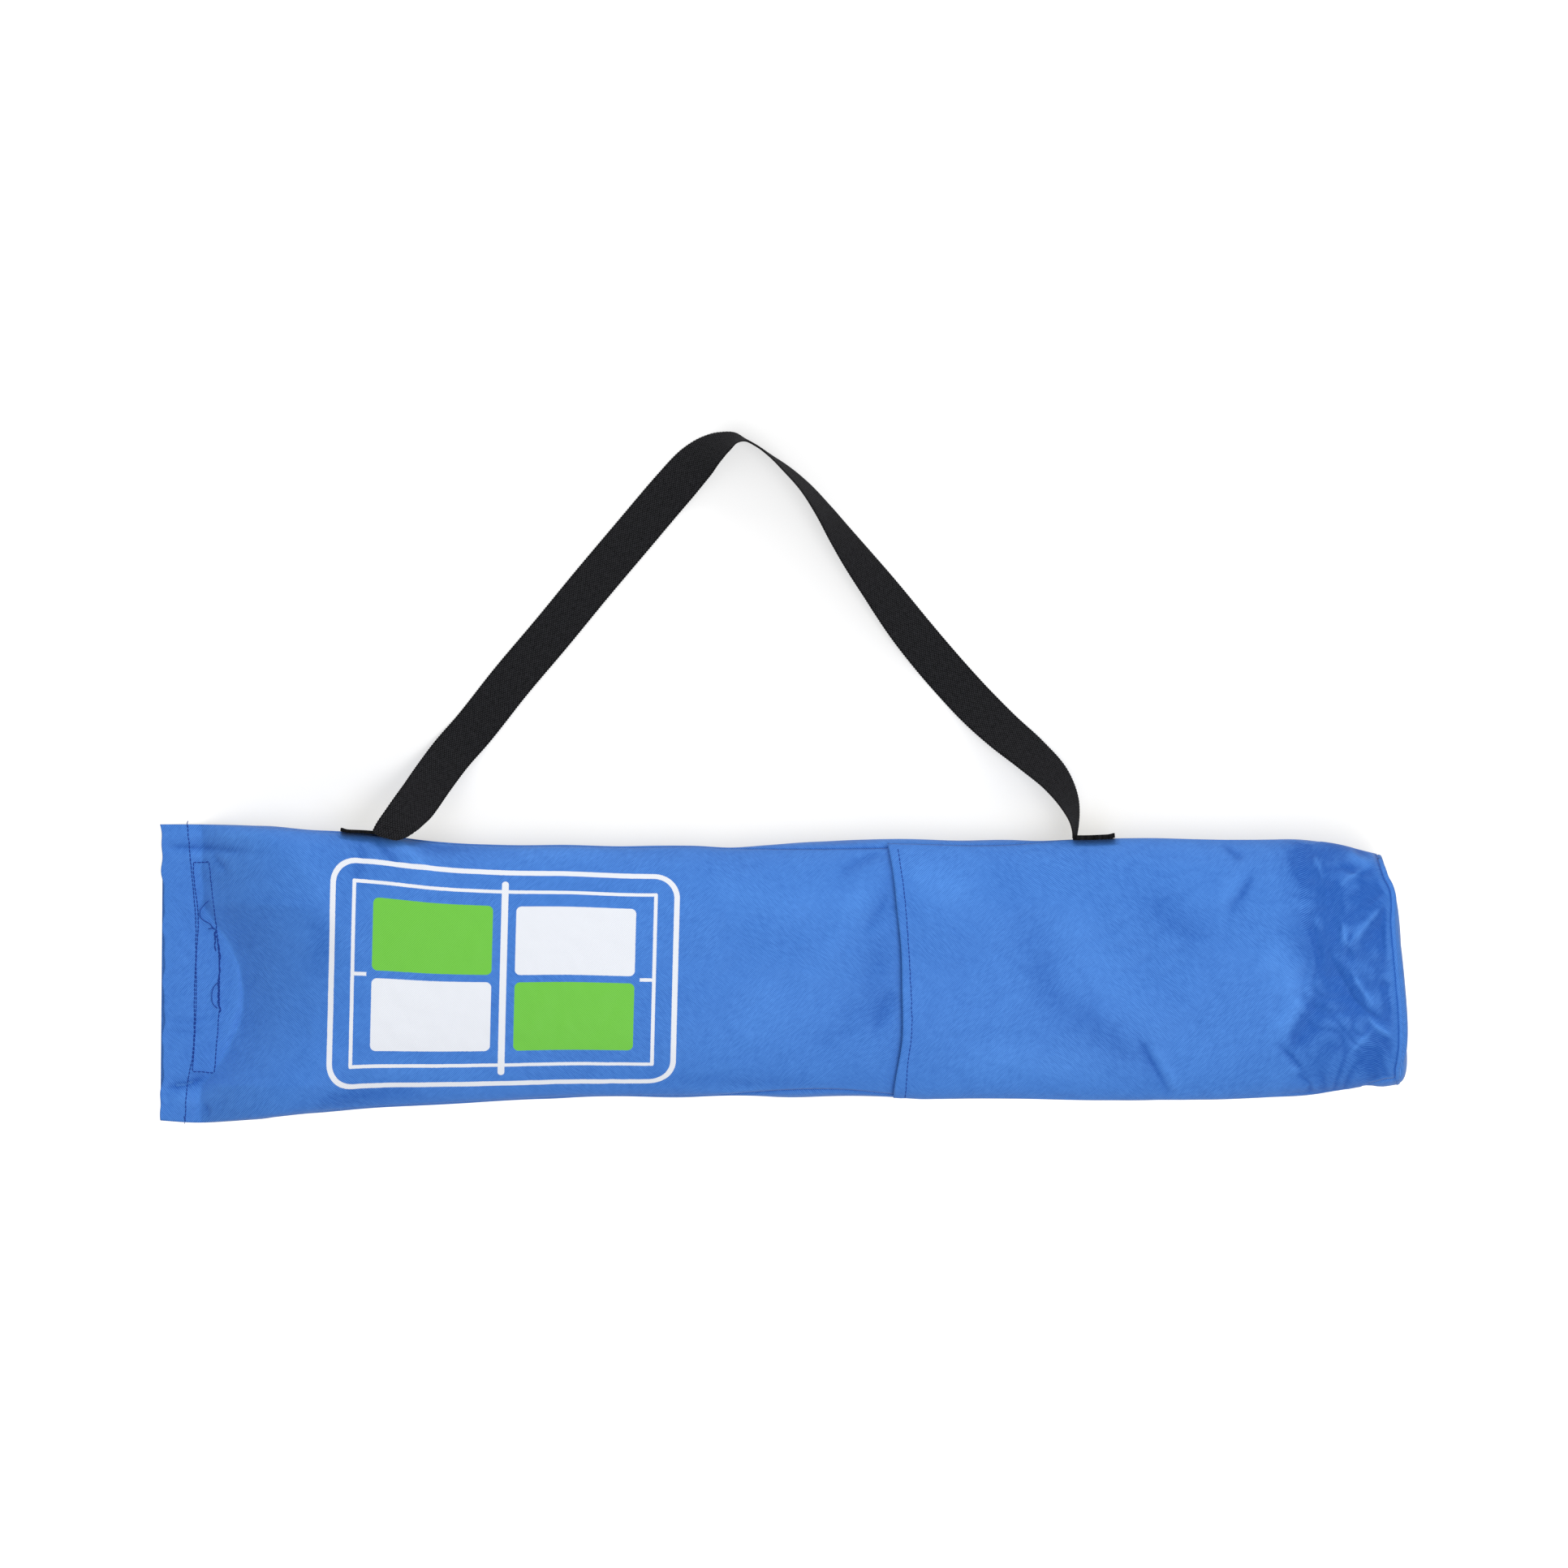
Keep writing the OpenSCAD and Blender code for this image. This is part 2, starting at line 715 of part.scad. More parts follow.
// Rounded rectangle from squares and circles, its lower edge at y = 0
module rounded(w, h, r) {
    translate([-w / 2 + r, 0])
        square([w - 2 * r, h]);
    translate([-w / 2, r])
        square([w, h - 2 * r]);
    for (x = [-1, 1], y = [r, h - r])
        translate([x * (w / 2 - r), y])
            circle(r = r);
}

module net_tie() {
    inside_w = net_w + 2 * seat_gap;
    inside_h = band_top - net_z + 2 * seat_gap;
    r = 4;
    color("#1d2a5c")
        translate([net_x + net_len / 2, 0, net_z - seat_gap])
            along_x(tie_w)
                difference() {
                    translate([0, -tie_t])
                        rounded(inside_w + 2 * tie_t, inside_h + 2 * tie_t, r + tie_t);
                    rounded(inside_w, inside_h, r);
                }
}

back_panel();
front_panel();
base_panel();
base_piping();
pocket_panel();
pocket_hem();
mouth_lip();
mouth_hem_upper();
mouth_hem_lower();
hook_strip();
loop_strip();
strap_end_mouth();
strap_end_base();
shoulder_strap();
rail_1();
rail_2();
rail_3();
rail_4();
post_left();
post_right();
post_caps();
foot_bar(0);  // foot_bar_1
foot_bar(1);  // foot_bar_2
foot_bar(2);  // foot_bar_3
foot_bar(3);  // foot_bar_4
foot_caps();
corner_hub_left();
corner_hub_right();
folded_net();
net_headband();
net_tie();
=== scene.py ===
"""Mini tennis net set in its carry bag: cloth, webbing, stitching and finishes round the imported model.

Everything is in metres. X runs along the bag from its mouth to its base, Y across it towards the
shoulder strap, and Z up from the floor that the bag lies on.
"""

import math

import bpy
import numpy as np
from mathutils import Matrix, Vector
from mathutils.bvhtree import BVHTree


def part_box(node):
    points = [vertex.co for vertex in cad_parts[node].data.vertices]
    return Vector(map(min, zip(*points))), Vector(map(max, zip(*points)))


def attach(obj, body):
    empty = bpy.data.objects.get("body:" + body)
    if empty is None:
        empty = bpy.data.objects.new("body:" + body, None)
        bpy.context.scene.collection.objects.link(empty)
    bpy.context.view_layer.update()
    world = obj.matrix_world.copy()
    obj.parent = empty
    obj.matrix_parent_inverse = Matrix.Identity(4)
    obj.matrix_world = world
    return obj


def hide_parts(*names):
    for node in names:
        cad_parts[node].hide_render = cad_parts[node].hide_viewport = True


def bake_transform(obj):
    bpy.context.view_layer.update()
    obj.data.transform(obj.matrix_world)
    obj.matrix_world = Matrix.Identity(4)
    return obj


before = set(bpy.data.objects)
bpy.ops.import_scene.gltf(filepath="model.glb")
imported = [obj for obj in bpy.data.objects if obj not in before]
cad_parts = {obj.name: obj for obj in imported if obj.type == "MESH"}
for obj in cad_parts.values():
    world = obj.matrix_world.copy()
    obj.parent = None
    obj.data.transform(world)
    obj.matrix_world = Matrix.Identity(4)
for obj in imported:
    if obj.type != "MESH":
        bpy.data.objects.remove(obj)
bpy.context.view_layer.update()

MM = 0.001

# ---- sizes, as in the model ----

FABRIC_T = 0.8 * MM
PIPING_R = 2 * MM
BASE_BULGE = 9 * MM
BASE_GAP = 0.05 * MM
CLOTH_W = 212 * MM
FILLED_H = 58 * MM
CORNER_R = 22 * MM
STRAP_W = 30 * MM
STRAP_T = 1.6 * MM
MOUTH_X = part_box("back_panel")[0].x
BASE_X = -MOUTH_X - BASE_BULGE - PIPING_R - FABRIC_T - BASE_GAP
HEM_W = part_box("mouth_hem_upper")[1].x - MOUTH_X
HEM_END_X = MOUTH_X + HEM_W
FLAT_END_X = MOUTH_X + 53 * MM
CREASE_X = MOUTH_X + 59 * MM
HINGE_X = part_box("front_panel")[0].x
POCKET_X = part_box("pocket_panel")[0].x
POCKET_HEM_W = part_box("pocket_hem")[1].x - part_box("pocket_hem")[0].x
RISE_X = BASE_X - 180 * MM
LEAN_X = BASE_X - 130 * MM
PANEL_END_X = BASE_X - 0.3 * PIPING_R
MOUTH_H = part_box("mouth_hem_upper")[1].z + FABRIC_T
BASE_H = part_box("base_piping")[1].z
BASE_LEAN = math.tan(math.radians(5))
# The section: height of its widest line as a share, and its exponents along the body and at the mouth
SEAM_SHARE = 0.45
CROWN_N = 2.5
MOUTH_N = 8
# Space under the pocket: how far the front gives way over the hubs, and past them, where the bag is empty
PRESSED_IN = 2.4 * MM
PRESSED_MORE = 4 * MM
EMPTY_FROM = 300 * MM

# Both side edges of the filled bag from above: place along the bag, strap side, far side
EDGES = MM * np.array([
    (-443, 104, -107), (-420, 104, -108.5), (-383, 103.3, -106.7), (-337, 100.4, -101.5),
    (-291, 97.3, -97.8), (-245, 91.7, -95.2), (-198, 89.4, -92.6), (-152, 89.4, -90.2),
    (-106, 88.3, -89.4), (-60, 88.9, -89.4), (-37, 87.5, -89), (-10, 89.4, -89.6),
    (55, 92.9, -89.6), (102, 93.5, -90.6), (171, 92.5, -91.2), (217, 93.6, -92.2),
    (263, 94, -91.8), (332, 93, -90.6), (378, 92.6, -87), (396, 91, -84), (409, 88.6, -82),
    (420, 85.5, -83), (431, 82.5, -81),
])
# How far the side seams ride up inside those edges, by place along the bag, and the least of it
SEAM_IN = MM * np.array([
    (-443, 0, 0), (-60, 0, 0), (-37, 0.3, 1), (0, 3, 4.4), (40, 5.2, 4.8), (76, 5.6, 2), (110, 5, 0),
    (160, 3.4, 0), (205, 0.6, 0), (230, 0, 0), (366, 0, 0), (380, 1.8, 0), (392, 0, 0), (405, 0, 0.5),
    (414, 0, 4), (422, 0, 6.5), (431, 0, 5),
])
SEAM_LEAST = 0.5 * MM


# ---- curves ----

def ease(t):
    """Smooth step: 3t^2 - 2t^3 with t held between 0 and 1."""
    t = np.clip(t, 0, 1)
    return t * t * (3 - 2 * t)


def ramp(x, start, end):
    """Smooth step from 0 at start to 1 at end."""
    return ease((x - start) / (end - start))


def mix(a, b, t):
    """Straight blend from a to b."""
    return a + (b - a) * t


def bell(x, middle, width, sharp=2):
    """Bell curve: exp(-(|x - middle| / width)^sharp)."""
    return np.exp(-((np.abs(x - middle) / width) ** sharp))


def power(wave, e):
    """Power that keeps the sign: sign(w) |w|^e."""
    return np.sign(wave) * np.abs(wave) ** e


def circle(count):
    """Even angles round a full turn, without the last."""
    return np.linspace(0, 2 * np.pi, count, endpoint=False)


def grid(*parts):
    """Points from arrays of x, y and z, or of u and v, spread over one grid."""
    return np.stack(np.broadcast_arrays(*parts), -1)


def unit(v):
    """Vectors made 1 long."""
    return v / np.maximum(np.linalg.norm(v, axis=-1, keepdims=True), 1e-12)


def lengths(points):
    """Length so far at each point of a path, or of each row of a grid."""
    step = np.linalg.norm(np.diff(points, axis=-2), axis=-1)
    return np.concatenate([np.zeros_like(step[..., :1]), np.cumsum(step, -1)], -1)


def through(x, xs, ys):
    """Smooth curve through points: cubic Hermite pieces whose slopes are central differences."""
    slope = np.gradient(ys, xs)
    i = np.clip(np.searchsorted(xs, x) - 1, 0, len(xs) - 2)
    h = xs[i + 1] - xs[i]
    t = np.clip((x - xs[i]) / h, 0, 1)
    return ((2 * t**3 - 3 * t**2 + 1) * ys[i] + (t**3 - 2 * t**2 + t) * h * slope[i]
            + (3 * t**2 - 2 * t**3) * ys[i + 1] + (t**3 - t**2) * h * slope[i + 1])


# ---- the bag's section ----

def sides(x):
    """Y of the strap side and of the far side of the bag at x."""
    return through(x, EDGES[:, 0], EDGES[:, 1]), through(x, EDGES[:, 0], EDGES[:, 2])


def height(x):
    """Height of the crown: it rises from the mouth's crease by 1 - (1 - t)^2, and again to the base."""
    t = np.clip((x - CREASE_X) / (HINGE_X + 14 * MM - CREASE_X), 0, 1)
    mouth = mix(MOUTH_H, FILLED_H, t * (2 - t))
    return mouth + (BASE_H - FILLED_H) * ramp(x, RISE_X, BASE_X)


def seam_z(x):
    """Height at which the section is widest."""
    return height(x) * mix(0.5, SEAM_SHARE, ramp(x, FLAT_END_X, HINGE_X))


def crown_n(x):
    """Exponent of the section: nearly a rectangle at the mouth, a soft ellipse along the body."""
    return mix(MOUTH_N, CROWN_N, ramp(x, FLAT_END_X, HINGE_X))


def settle(x, y):
    """Place along the bag, moved by what its two ends do.

    The base's seam leans with y, stands out at one corner as a bell, and swells in its middle by
    1 - (y / half)^4. The stiff mouth bows in by 1 - |y / half|^3, with two fine waves along its edge.
    """
    def near_base(reach):
        return ramp(x, BASE_X - reach, BASE_X)
    lean = BASE_LEAN * y * ramp(x, LEAN_X, BASE_X)
    corner = 5 * MM * bell(y, 58 * MM, 17 * MM) * near_base(40 * MM)
    swell = 4 * MM * np.maximum(1 - ((y + 2 * MM) / (62 * MM)) ** 4, -0.4) * near_base(60 * MM)
    bow = 2.6 * MM * (1 - np.clip(np.abs(y) / (100 * MM), 0, 1) ** 3)
    waves = 0.7 * MM * np.sin(y / (6.5 * MM)) + 0.5 * MM * np.sin(y / (3.1 * MM) + 1)
    return x - lean + corner + swell + (bow + waves) * ramp(x, MOUTH_X + 90 * MM, MOUTH_X)


def upper(x, t, out=0.0):
    """Upper half of the section: y = half |cos t|^(2/n), z = low + rise |sin t|^(2/n).

    The lip's crease is arched: off its middle, the crown has the height that it has further along
    the bag, by a share of y squared.
    """
    strap_side, far_side = sides(x)
    e = 2 / crown_n(x)
    y = (strap_side + far_side) / 2 + ((strap_side - far_side) / 2 + out) * power(np.cos(t), e)
    arch = 26.6 * MM * ((y + 18 * MM) / (60 * MM)) ** 2
    arch = np.minimum(arch * ramp(x, HINGE_X + 60 * MM, HINGE_X - 20 * MM), 30 * MM)
    low = seam_z(x)
    top = np.maximum(height(x + arch), low + 2 * MM)
    z = low + (top + out - low) * np.abs(np.sin(t)) ** e
    return grid(settle(x, y), y, z)


def lower(x, side, t, out=0.0):
    """Lower corner: a quarter ellipse from the widest line, at t = 0, to the floor."""
    strap_side, far_side = sides(x)
    edge = np.where(side > 0, strap_side, far_side)
    y = edge - side * (CORNER_R - (CORNER_R + out) * np.cos(t))
    z = seam_z(x) - (seam_z(x) + out) * np.sin(t)
    return grid(settle(x, y), y, z)


def seam_angles(x):
    """Angles of the two side seams on the upper half of the section."""
    strap_side, far_side = sides(x)
    half = (strap_side - far_side) / 2
    n = crown_n(x)
    def angle(column):
        inside = np.maximum(through(x, SEAM_IN[:, 0], SEAM_IN[:, column]), SEAM_LEAST)
        return np.arccos(np.clip(1 - inside / half, 0, 1) ** (n / 2))
    return angle(1), np.pi - angle(2)


def section_angles(x, s):
    """Angles on the upper half of each section at shares s of the way round it, from seam to seam.

    Each section is measured at even steps of y and of z, because its angle runs very unevenly at the mouth.
    """
    first, last = seam_angles(x)
    n = crown_n(x)
    across, up = np.linspace(-1, 1, 240), np.linspace(0, 1, 120)
    flat, steep = np.arccos(power(across, n / 2)), np.arcsin(up ** (n / 2))
    t = np.clip(np.sort(np.concatenate([flat, steep, np.pi - steep], 1), 1), first, last)
    return np.array([np.interp(s[0] * r[-1], r, row) for r, row in zip(lengths(upper(x, t)), t)])


def columns(count):
    """Shares from 0 to 1 across a cloth, closer together beside both seams: a cubic in t."""
    t = np.linspace(-1, 1, count)[None, :]
    return 0.5 + 0.5 * t * (1.25 - 0.25 * t * t)


def from_seam(s):
    """Distance across the cut cloth to the nearer side seam."""
    return np.minimum(s, 1 - s) * CLOTH_W


def seam_groove(inside):
    """Narrow dip of the cloth at a seam: a bell of the distance to it."""
    return -0.9 * MM * bell(inside, 0, 1.6 * MM)


# ---- folds ----

# Folds fade over this share of their length at each end, to this share of their depth
FADE_RUN = 0.3
FADE_TO = 0.15


def fold(x, y, line, width, depth, sharp):
    """Soft ridge (depth > 0) or valley along a line of points in mm: depth exp(-(d / width)^sharp)."""
    p = MM * np.array(line, float)
    run = lengths(p)
    best = np.full(x.shape, np.inf)
    along = np.zeros(x.shape)
    for a, b, start, length in zip(p[:-1], p[1:], run[:-1], np.diff(run)):
        u = np.clip(((x - a[0]) * (b[0] - a[0]) + (y - a[1]) * (b[1] - a[1])) / length**2, 0, 1)
        d = np.hypot(x - a[0] - u * (b[0] - a[0]), y - a[1] - u * (b[1] - a[1]))
        closer = d < best
        best = np.where(closer, d, best)
        along = np.where(closer, (start + u * length) / run[-1], along)
    fade = ease(along / FADE_RUN) * ease((1 - along) / FADE_RUN)
    return depth * MM * bell(best, 0, width * MM, sharp) * mix(FADE_TO, 1, fade)


def add_folds(p, folds):
    """Sum of a list of folds at the points p."""
    return sum(fold(p[..., 0], p[..., 1], *row) for row in folds)


def ripple(x, y, scale, seed, stretch=1.0):
    """Seeded smooth noise: the mean of plane waves of about one wavelength in random directions."""
    count = 14
    total = np.zeros(np.broadcast(x, y).shape)
    draws = np.random.default_rng(seed).uniform((0, 0, 0.7), (np.pi, 7, 1.5), (count, 3))
    for angle, phase, size in draws:
        k = 2 * np.pi / (scale * size)
        total += np.sin(k * (x * math.cos(angle) / stretch + y * math.sin(angle)) + phase)
    return total / math.sqrt(count)


def crumple(p, scale, seed):
    """Seeded creases: the size of a warped ripple, which has sharp valleys where it is 0, less its mean."""
    x, y = p[..., 0], p[..., 1]
    push = 0.25 * scale
    moved = x + push * ripple(x, y, 1.6 * scale, seed), y + push * ripple(x, y, 1.6 * scale, seed + 1)
    return np.minimum(np.abs(ripple(*moved, scale, seed + 2)), 1) - 0.55


# Folds of the front panel: points along each in mm, half width, height (below 0 for a valley), sharpness
FRONT_FOLDS = [
    ([(-442, 88.3), (-410, 87.5), (-376, 84)], 2.2, -1.0, 1.4),
    ([(-440, 98), (-400, 98), (-360, 95)], 5, 0.8, 2),
    ([(-436, 81), (-405, 81), (-384, 79)], 3, 0.5, 2),
    ([(-407, 84), (-401, 77), (-394, 70)], 2.4, -0.8, 1.5),
    ([(-440, -83.5), (-424, -81), (-408, -75)], 2.6, -1.5, 1.4),
    ([(-436, -92), (-418, -92), (-400, -86)], 5, 0.8, 2),
    ([(-412, -93), (-408.5, -101), (-410, -107)], 2.2, -0.9, 1.5),
    ([(-440, -35), (-420, -36), (-402, -33)], 1.6, -0.5, 1.5),
    ([(-440, -43), (-422, -44), (-405, -42)], 1.6, -0.4, 1.5),
    ([(-408, 64), (-401, 34), (-389, 10), (-387, -18), (-391, -38), (-404, -66)], 4, 0.8, 1.6),
    ([(-330, 62), (-327, 20), (-332, -14)], 9, -0.5, 2),
    ([(-350, 88), (-330, 60), (-322, 30)], 9, 0.6, 2),
    ([(-292, 96), (-280, 84), (-268, 70)], 2.6, -0.9, 1.5),
    ([(-286, 98), (-270, 90), (-245, 66)], 4, 1.2, 1.6),
    ([(-300, 96), (-298, 80), (-304, 62)], 4, -0.8, 1.7),
    ([(-262, 92), (-240, 88), (-215, 90)], 5, -0.8, 2),
    ([(-200, 86), (-160, 84), (-120, 86)], 7, 0.6, 2),
    ([(-340, -98), (-300, -88), (-250, -84)], 8, -0.7, 2),
    ([(-310, -70), (-260, -72), (-200, -76)], 9, 0.5, 2),
    ([(-120, -80), (-60, -77), (0, -79), (50, -80)], 5, -0.4, 2),
    ([(-60, -86), (0, -87), (60, -88)], 3, 1.1, 1.8),
    ([(-60, 60), (0, 46), (50, 44)], 14, 0.6, 2),
    ([(76, 80), (52, 40), (28, 4), (14, -26)], 10, 0.5, 2),
    ([(74, 86), (56, 78), (36, 66)], 4, -0.7, 1.6),
    ([(60, 60), (48, 50), (40, 38)], 6, 0.5, 2),
    ([(76, 60), (66, 40), (58, 24)], 6, -0.6, 1.8),
    ([(82, -10), (70, -30), (60, -44)], 7, -0.7, 1.8),
    ([(70, 30), (66, -12), (72, -50)], 9, -0.5, 2),
    ([(56, -14), (44, -42), (20, -56)], 9, -0.4, 2),
    ([(-20, -2), (-10, -30), (-40, -50)], 16, 0.5, 2),
]

# Folds of the pocket panel, most of them gathered where it meets the oval base
POCKET_FOLDS = [
    ([(88, 80), (110, 60), (140, 52)], 12, 0.7, 2),
    ([(165, 56), (176, 20), (190, -16), (226, -42), (270, -80)], 12, -0.5, 2),
    ([(196, 60), (214, 20), (246, -22), (292, -62)], 13, 0.4, 2),
    ([(251, -44), (264, -68), (276, -89)], 2.6, -1.1, 1.4),
    ([(262, -50), (272, -68), (284, -88)], 3.6, 0.7, 1.6),
    ([(120, -60), (180, -66), (240, -70)], 12, 0.6, 2),
    ([(250, 60), (280, 36), (310, 20)], 14, -0.5, 2),
    ([(311, 92), (319, 85), (328, 78)], 3, -0.8, 1.6),
    ([(316, 40), (326, 55), (335, 70)], 3.5, -0.9, 1.6),
    ([(308, 44), (318, 60), (328, 74)], 5, 0.6, 2),
    ([(366, 91), (369, 78), (374, 66), (381, 56)], 9, -1.5, 2),
    ([(376, 84), (381, 73), (385, 56)], 3, 1.1, 1.3),
    ([(382, 69), (387, 55), (390, 38), (391, 20)], 5.5, -2.3, 1.6),
    ([(393, 59), (402, 66), (414, 73.5)], 1.9, 1.5, 1.3),
    ([(398, 48), (412, 56), (424, 60)], 5, -0.9, 1.8),
    ([(402, 20), (414, 34), (428, 49)], 2.0, 1.4, 1.3),
    ([(410, 14), (420, 28), (428, 36)], 5, -1.6, 1.8),
    ([(396, 40), (398, 26), (402, 12)], 2.4, 1.3, 1.3),
    ([(386, 8), (392, -4), (400, -16), (408, -28)], 7, -2.6, 1.8),
    ([(388, 10), (392, 3), (404, -19), (416, -36)], 1.8, -1.4, 1.2),
    ([(402, 2), (410, -12), (420, -26)], 2.6, 1.3, 1.4),
    ([(414, -33), (424, -41), (434, -47)], 1.9, 1.5, 1.3),
    ([(419, -41), (413, -47), (407, -53), (400, -60)], 2.0, 1.1, 1.3),
    ([(426, -52), (420, -60), (414, -70)], 5, -1.1, 2),
    ([(384, -14), (376, -30), (366, -46), (358, -56)], 7, -1.9, 1.8),
    ([(370, -14), (360, -32), (348, -48)], 7, 1.0, 2),
    ([(357, -65), (369, -76), (381, -86)], 3, 1.1, 1.5),
    ([(362, -70), (375, -81), (374, -89)], 2.4, -1.6, 1.4),
    ([(340, 20), (356, 0), (360, -24)], 12, 0.9, 2),
    ([(427, 54), (425, 32), (424, 8)], 3.5, -1.3, 1.8),
    ([(374, 40), (378, 18), (384, -2), (392, -18)], 3.2, -1.2, 1.6),
    ([(408, 44), (420, 52), (428, 60)], 1.4, -1.3, 1.3),
    ([(404, -20), (414, -28), (424, -34)], 1.5, -1.4, 1.3),
    ([(404, 30), (400, 18), (404, 6)], 1.6, -1.2, 1.3),
    ([(352, -52), (362, -62), (370, -72)], 2.2, -1.0, 1.4),
    ([(396, 76), (404, 70), (416, 68)], 1.8, -1.0, 1.3),
    ([(425, -4), (428, -22), (430, -34)], 3, -1.1, 1.8),
    ([(398, 84), (410, 80), (424, 77)], 5, 1.2, 2),
    ([(404, 88), (412, 82), (420, 78)], 3, -0.7, 2),
]


# ---- meshes ----

# Painted tone of level cloth: painted shade lowers the tone in valleys and a painted highlight raises it on
# ridges
LEVEL = 0.5


def normals(p, turn=1):
    """Unit normals of a grid of points, from the cross product of its two directions."""
    return unit(turn * np.cross(np.gradient(p, axis=1), np.gradient(p, axis=0)))


def quads(rows, cols, wrap=False, loop=False):
    """Faces of a grid, as indices into its points in reading order.

    With wrap the last column is joined to the first, and with loop the last row to the first.
    """
    i, j = np.ogrid[:rows if loop else rows - 1, :cols if wrap else cols - 1]
    row, below, beside = i * cols, (i + 1) % rows * cols, (j + 1) % cols
    return np.stack([row + j, row + beside, below + beside, below + j], -1).reshape(-1, 4)


def make(name, points, faces, material, uv=None, slot=None):
    """New smooth mesh object from arrays of points and faces, with uv given for each point."""
    mesh = bpy.data.meshes.new(name)
    mesh.from_pydata(np.asarray(points, float).reshape(-1, 3).tolist(), [], [list(f) for f in faces])
    mesh.shade_smooth()
    if uv is not None:
        corner = np.empty(len(mesh.loops), int)
        mesh.loops.foreach_get("vertex_index", corner)
        layer = mesh.uv_layers.new(name="cloth")
        layer.data.foreach_set("uv", np.asarray(uv, np.float32).reshape(-1, 2)[corner].ravel())
    mesh.materials.append(material)
    obj = bpy.data.objects.new(name, mesh)
    bpy.context.scene.collection.objects.link(obj)
    return obj


def cloth(name, p, material, uv, turn=1, thick=FABRIC_T, slot="bag_fabric"):
    """Closed sheet of cloth: a grid of points, its copy one thickness inwards, and the four edges."""
    rows, cols = p.shape[:2]
    count = rows * cols
    inner = p - thick * normals(p, turn)
    outer = quads(rows, cols)
    place = np.arange(count).reshape(rows, cols)
    rim = np.concatenate([place[0, :], place[1:, -1], place[-1, -2::-1], place[-2:0:-1, 0]])
    after = np.roll(rim, -1)
    edge = np.stack([after, rim, rim + count, after + count], -1)
    faces = np.concatenate([outer, outer[:, ::-1] + count, edge])
    if turn < 0:
        faces = faces[:, ::-1]
    return make(name, np.concatenate([p, inner]), faces, material, np.concatenate([uv, uv]), slot)


def paint(obj, tone):
    """Point attribute of painted shade and highlight that the cloth's colour follows: one value, or those of
    its outer side, used twice.
    """
    attribute = obj.data.attributes.new("fold", "FLOAT", "POINT")
    attribute.data.foreach_set("value", np.resize(tone, len(obj.data.vertices)).astype(np.float32))


def painted_fold_shade(depth, spread):
    """Painted shade and highlight of creased cloth: 0 in valleys as deep as spread, LEVEL on level cloth, 0.8
    on ridges as high.
    """
    return np.clip(LEVEL + np.where(depth > 0, 0.6 * depth, depth) / (2 * spread), 0, 1)


def tube(path, radius, around=6, loop=False):
    """Points and faces of a round tube along a path of points, with closed ends or joined to a loop."""
    along = unit(np.roll(path, -1, 0) - np.roll(path, 1, 0) if loop else np.gradient(path, axis=0))
    u = unit(np.cross(along, np.where(np.abs(along[:, 2:]) < 0.9, [[0, 0, 1]], [[1, 0, 0]])))
    v = np.cross(u, along)
    a = circle(around)[None, :, None]
    radius = np.broadcast_to(radius, len(path))[:, None, None]
    rings = path[:, None] + radius * (np.cos(a) * u[:, None] + np.sin(a) * v[:, None])
    faces = quads(len(path), around, wrap=True, loop=loop).tolist()
    if not loop:
        faces += end_caps(len(path), around)
    return rings.reshape(-1, 3), faces


def end_caps(rows, cols):
    """Faces that close both ends of a tube of rings."""
    return [list(range(cols))[::-1], list(range((rows - 1) * cols, rows * cols))]


def joined(parts):
    """One set of points and faces from several."""
    points, faces, base = [], [], 0
    for p, f in parts:
        points.append(p)
        faces += [[i + base for i in face] for face in f]
        base += len(p)
    return np.concatenate(points), faces


# ---- shader nodes ----

ORIGIN = (0, 0, 0)


def add(tree, kind, inputs=None, **settings):
    """New node with its settings and inputs; an input that is a socket is linked."""
    node = tree.nodes.new(kind)
    for key, value in settings.items():
        setattr(node, key, value)
    for key, value in (inputs or {}).items():
        if isinstance(value, bpy.types.NodeSocket):
            tree.links.new(value, node.inputs[key])
        else:
            node.inputs[key].default_value = value
    return node


def calc(tree, operation, a, b=0.0, c=0.0, clamp=False):
    """Math node's result."""
    return add(tree, "ShaderNodeMath", {0: a, 1: b, 2: c}, operation=operation, use_clamp=clamp).outputs[0]


def vector(tree, operation, a, b=(0, 0, 0)):
    """Vector Math node."""
    return add(tree, "ShaderNodeVectorMath", {0: a, 1: b}, operation=operation)


def noise(tree, place, scale, detail, roughness=0.5):
    """Noise texture's value."""
    inputs = {"Vector": place, "Scale": scale, "Detail": detail, "Roughness": roughness}
    return add(tree, "ShaderNodeTexNoise", inputs).outputs["Fac"]


def between(tree, value, start, end, **settings):
    """0 where the value is start, 1 where it is end, and held at both."""
    return add(tree, "ShaderNodeMapRange", {0: value, 1: start, 2: end}, **settings).outputs[0]


def blend_value(tree, factor, a, b):
    """Value that goes from a to b with the factor."""
    return add(tree, "ShaderNodeMix", {0: factor, 2: a, 3: b}, data_type="FLOAT").outputs[0]


def blend_colour(tree, factor, a, b):
    """Colour that goes from a to b with the factor."""
    return add(tree, "ShaderNodeMix", {0: factor, 6: a, 7: b}, data_type="RGBA").outputs[2]


def turned(tree, place, angle):
    """Place turned about Z."""
    inputs = {"Vector": place, "Angle": angle}
    return add(tree, "ShaderNodeVectorRotate", inputs, rotation_type="Z_AXIS").outputs[0]


def on_cloth(tree):
    """Place on the cut cloth."""
    return add(tree, "ShaderNodeUVMap", uv_map="cloth").outputs[0]


def on_object(tree):
    """Place in the piece's own metres."""
    return add(tree, "ShaderNodeTexCoord").outputs["Object"]


def use(tree, effect, **inputs):
    """Outputs of a node group with the given inputs."""
    return add(tree, "ShaderNodeGroup", inputs, node_tree=effect).outputs


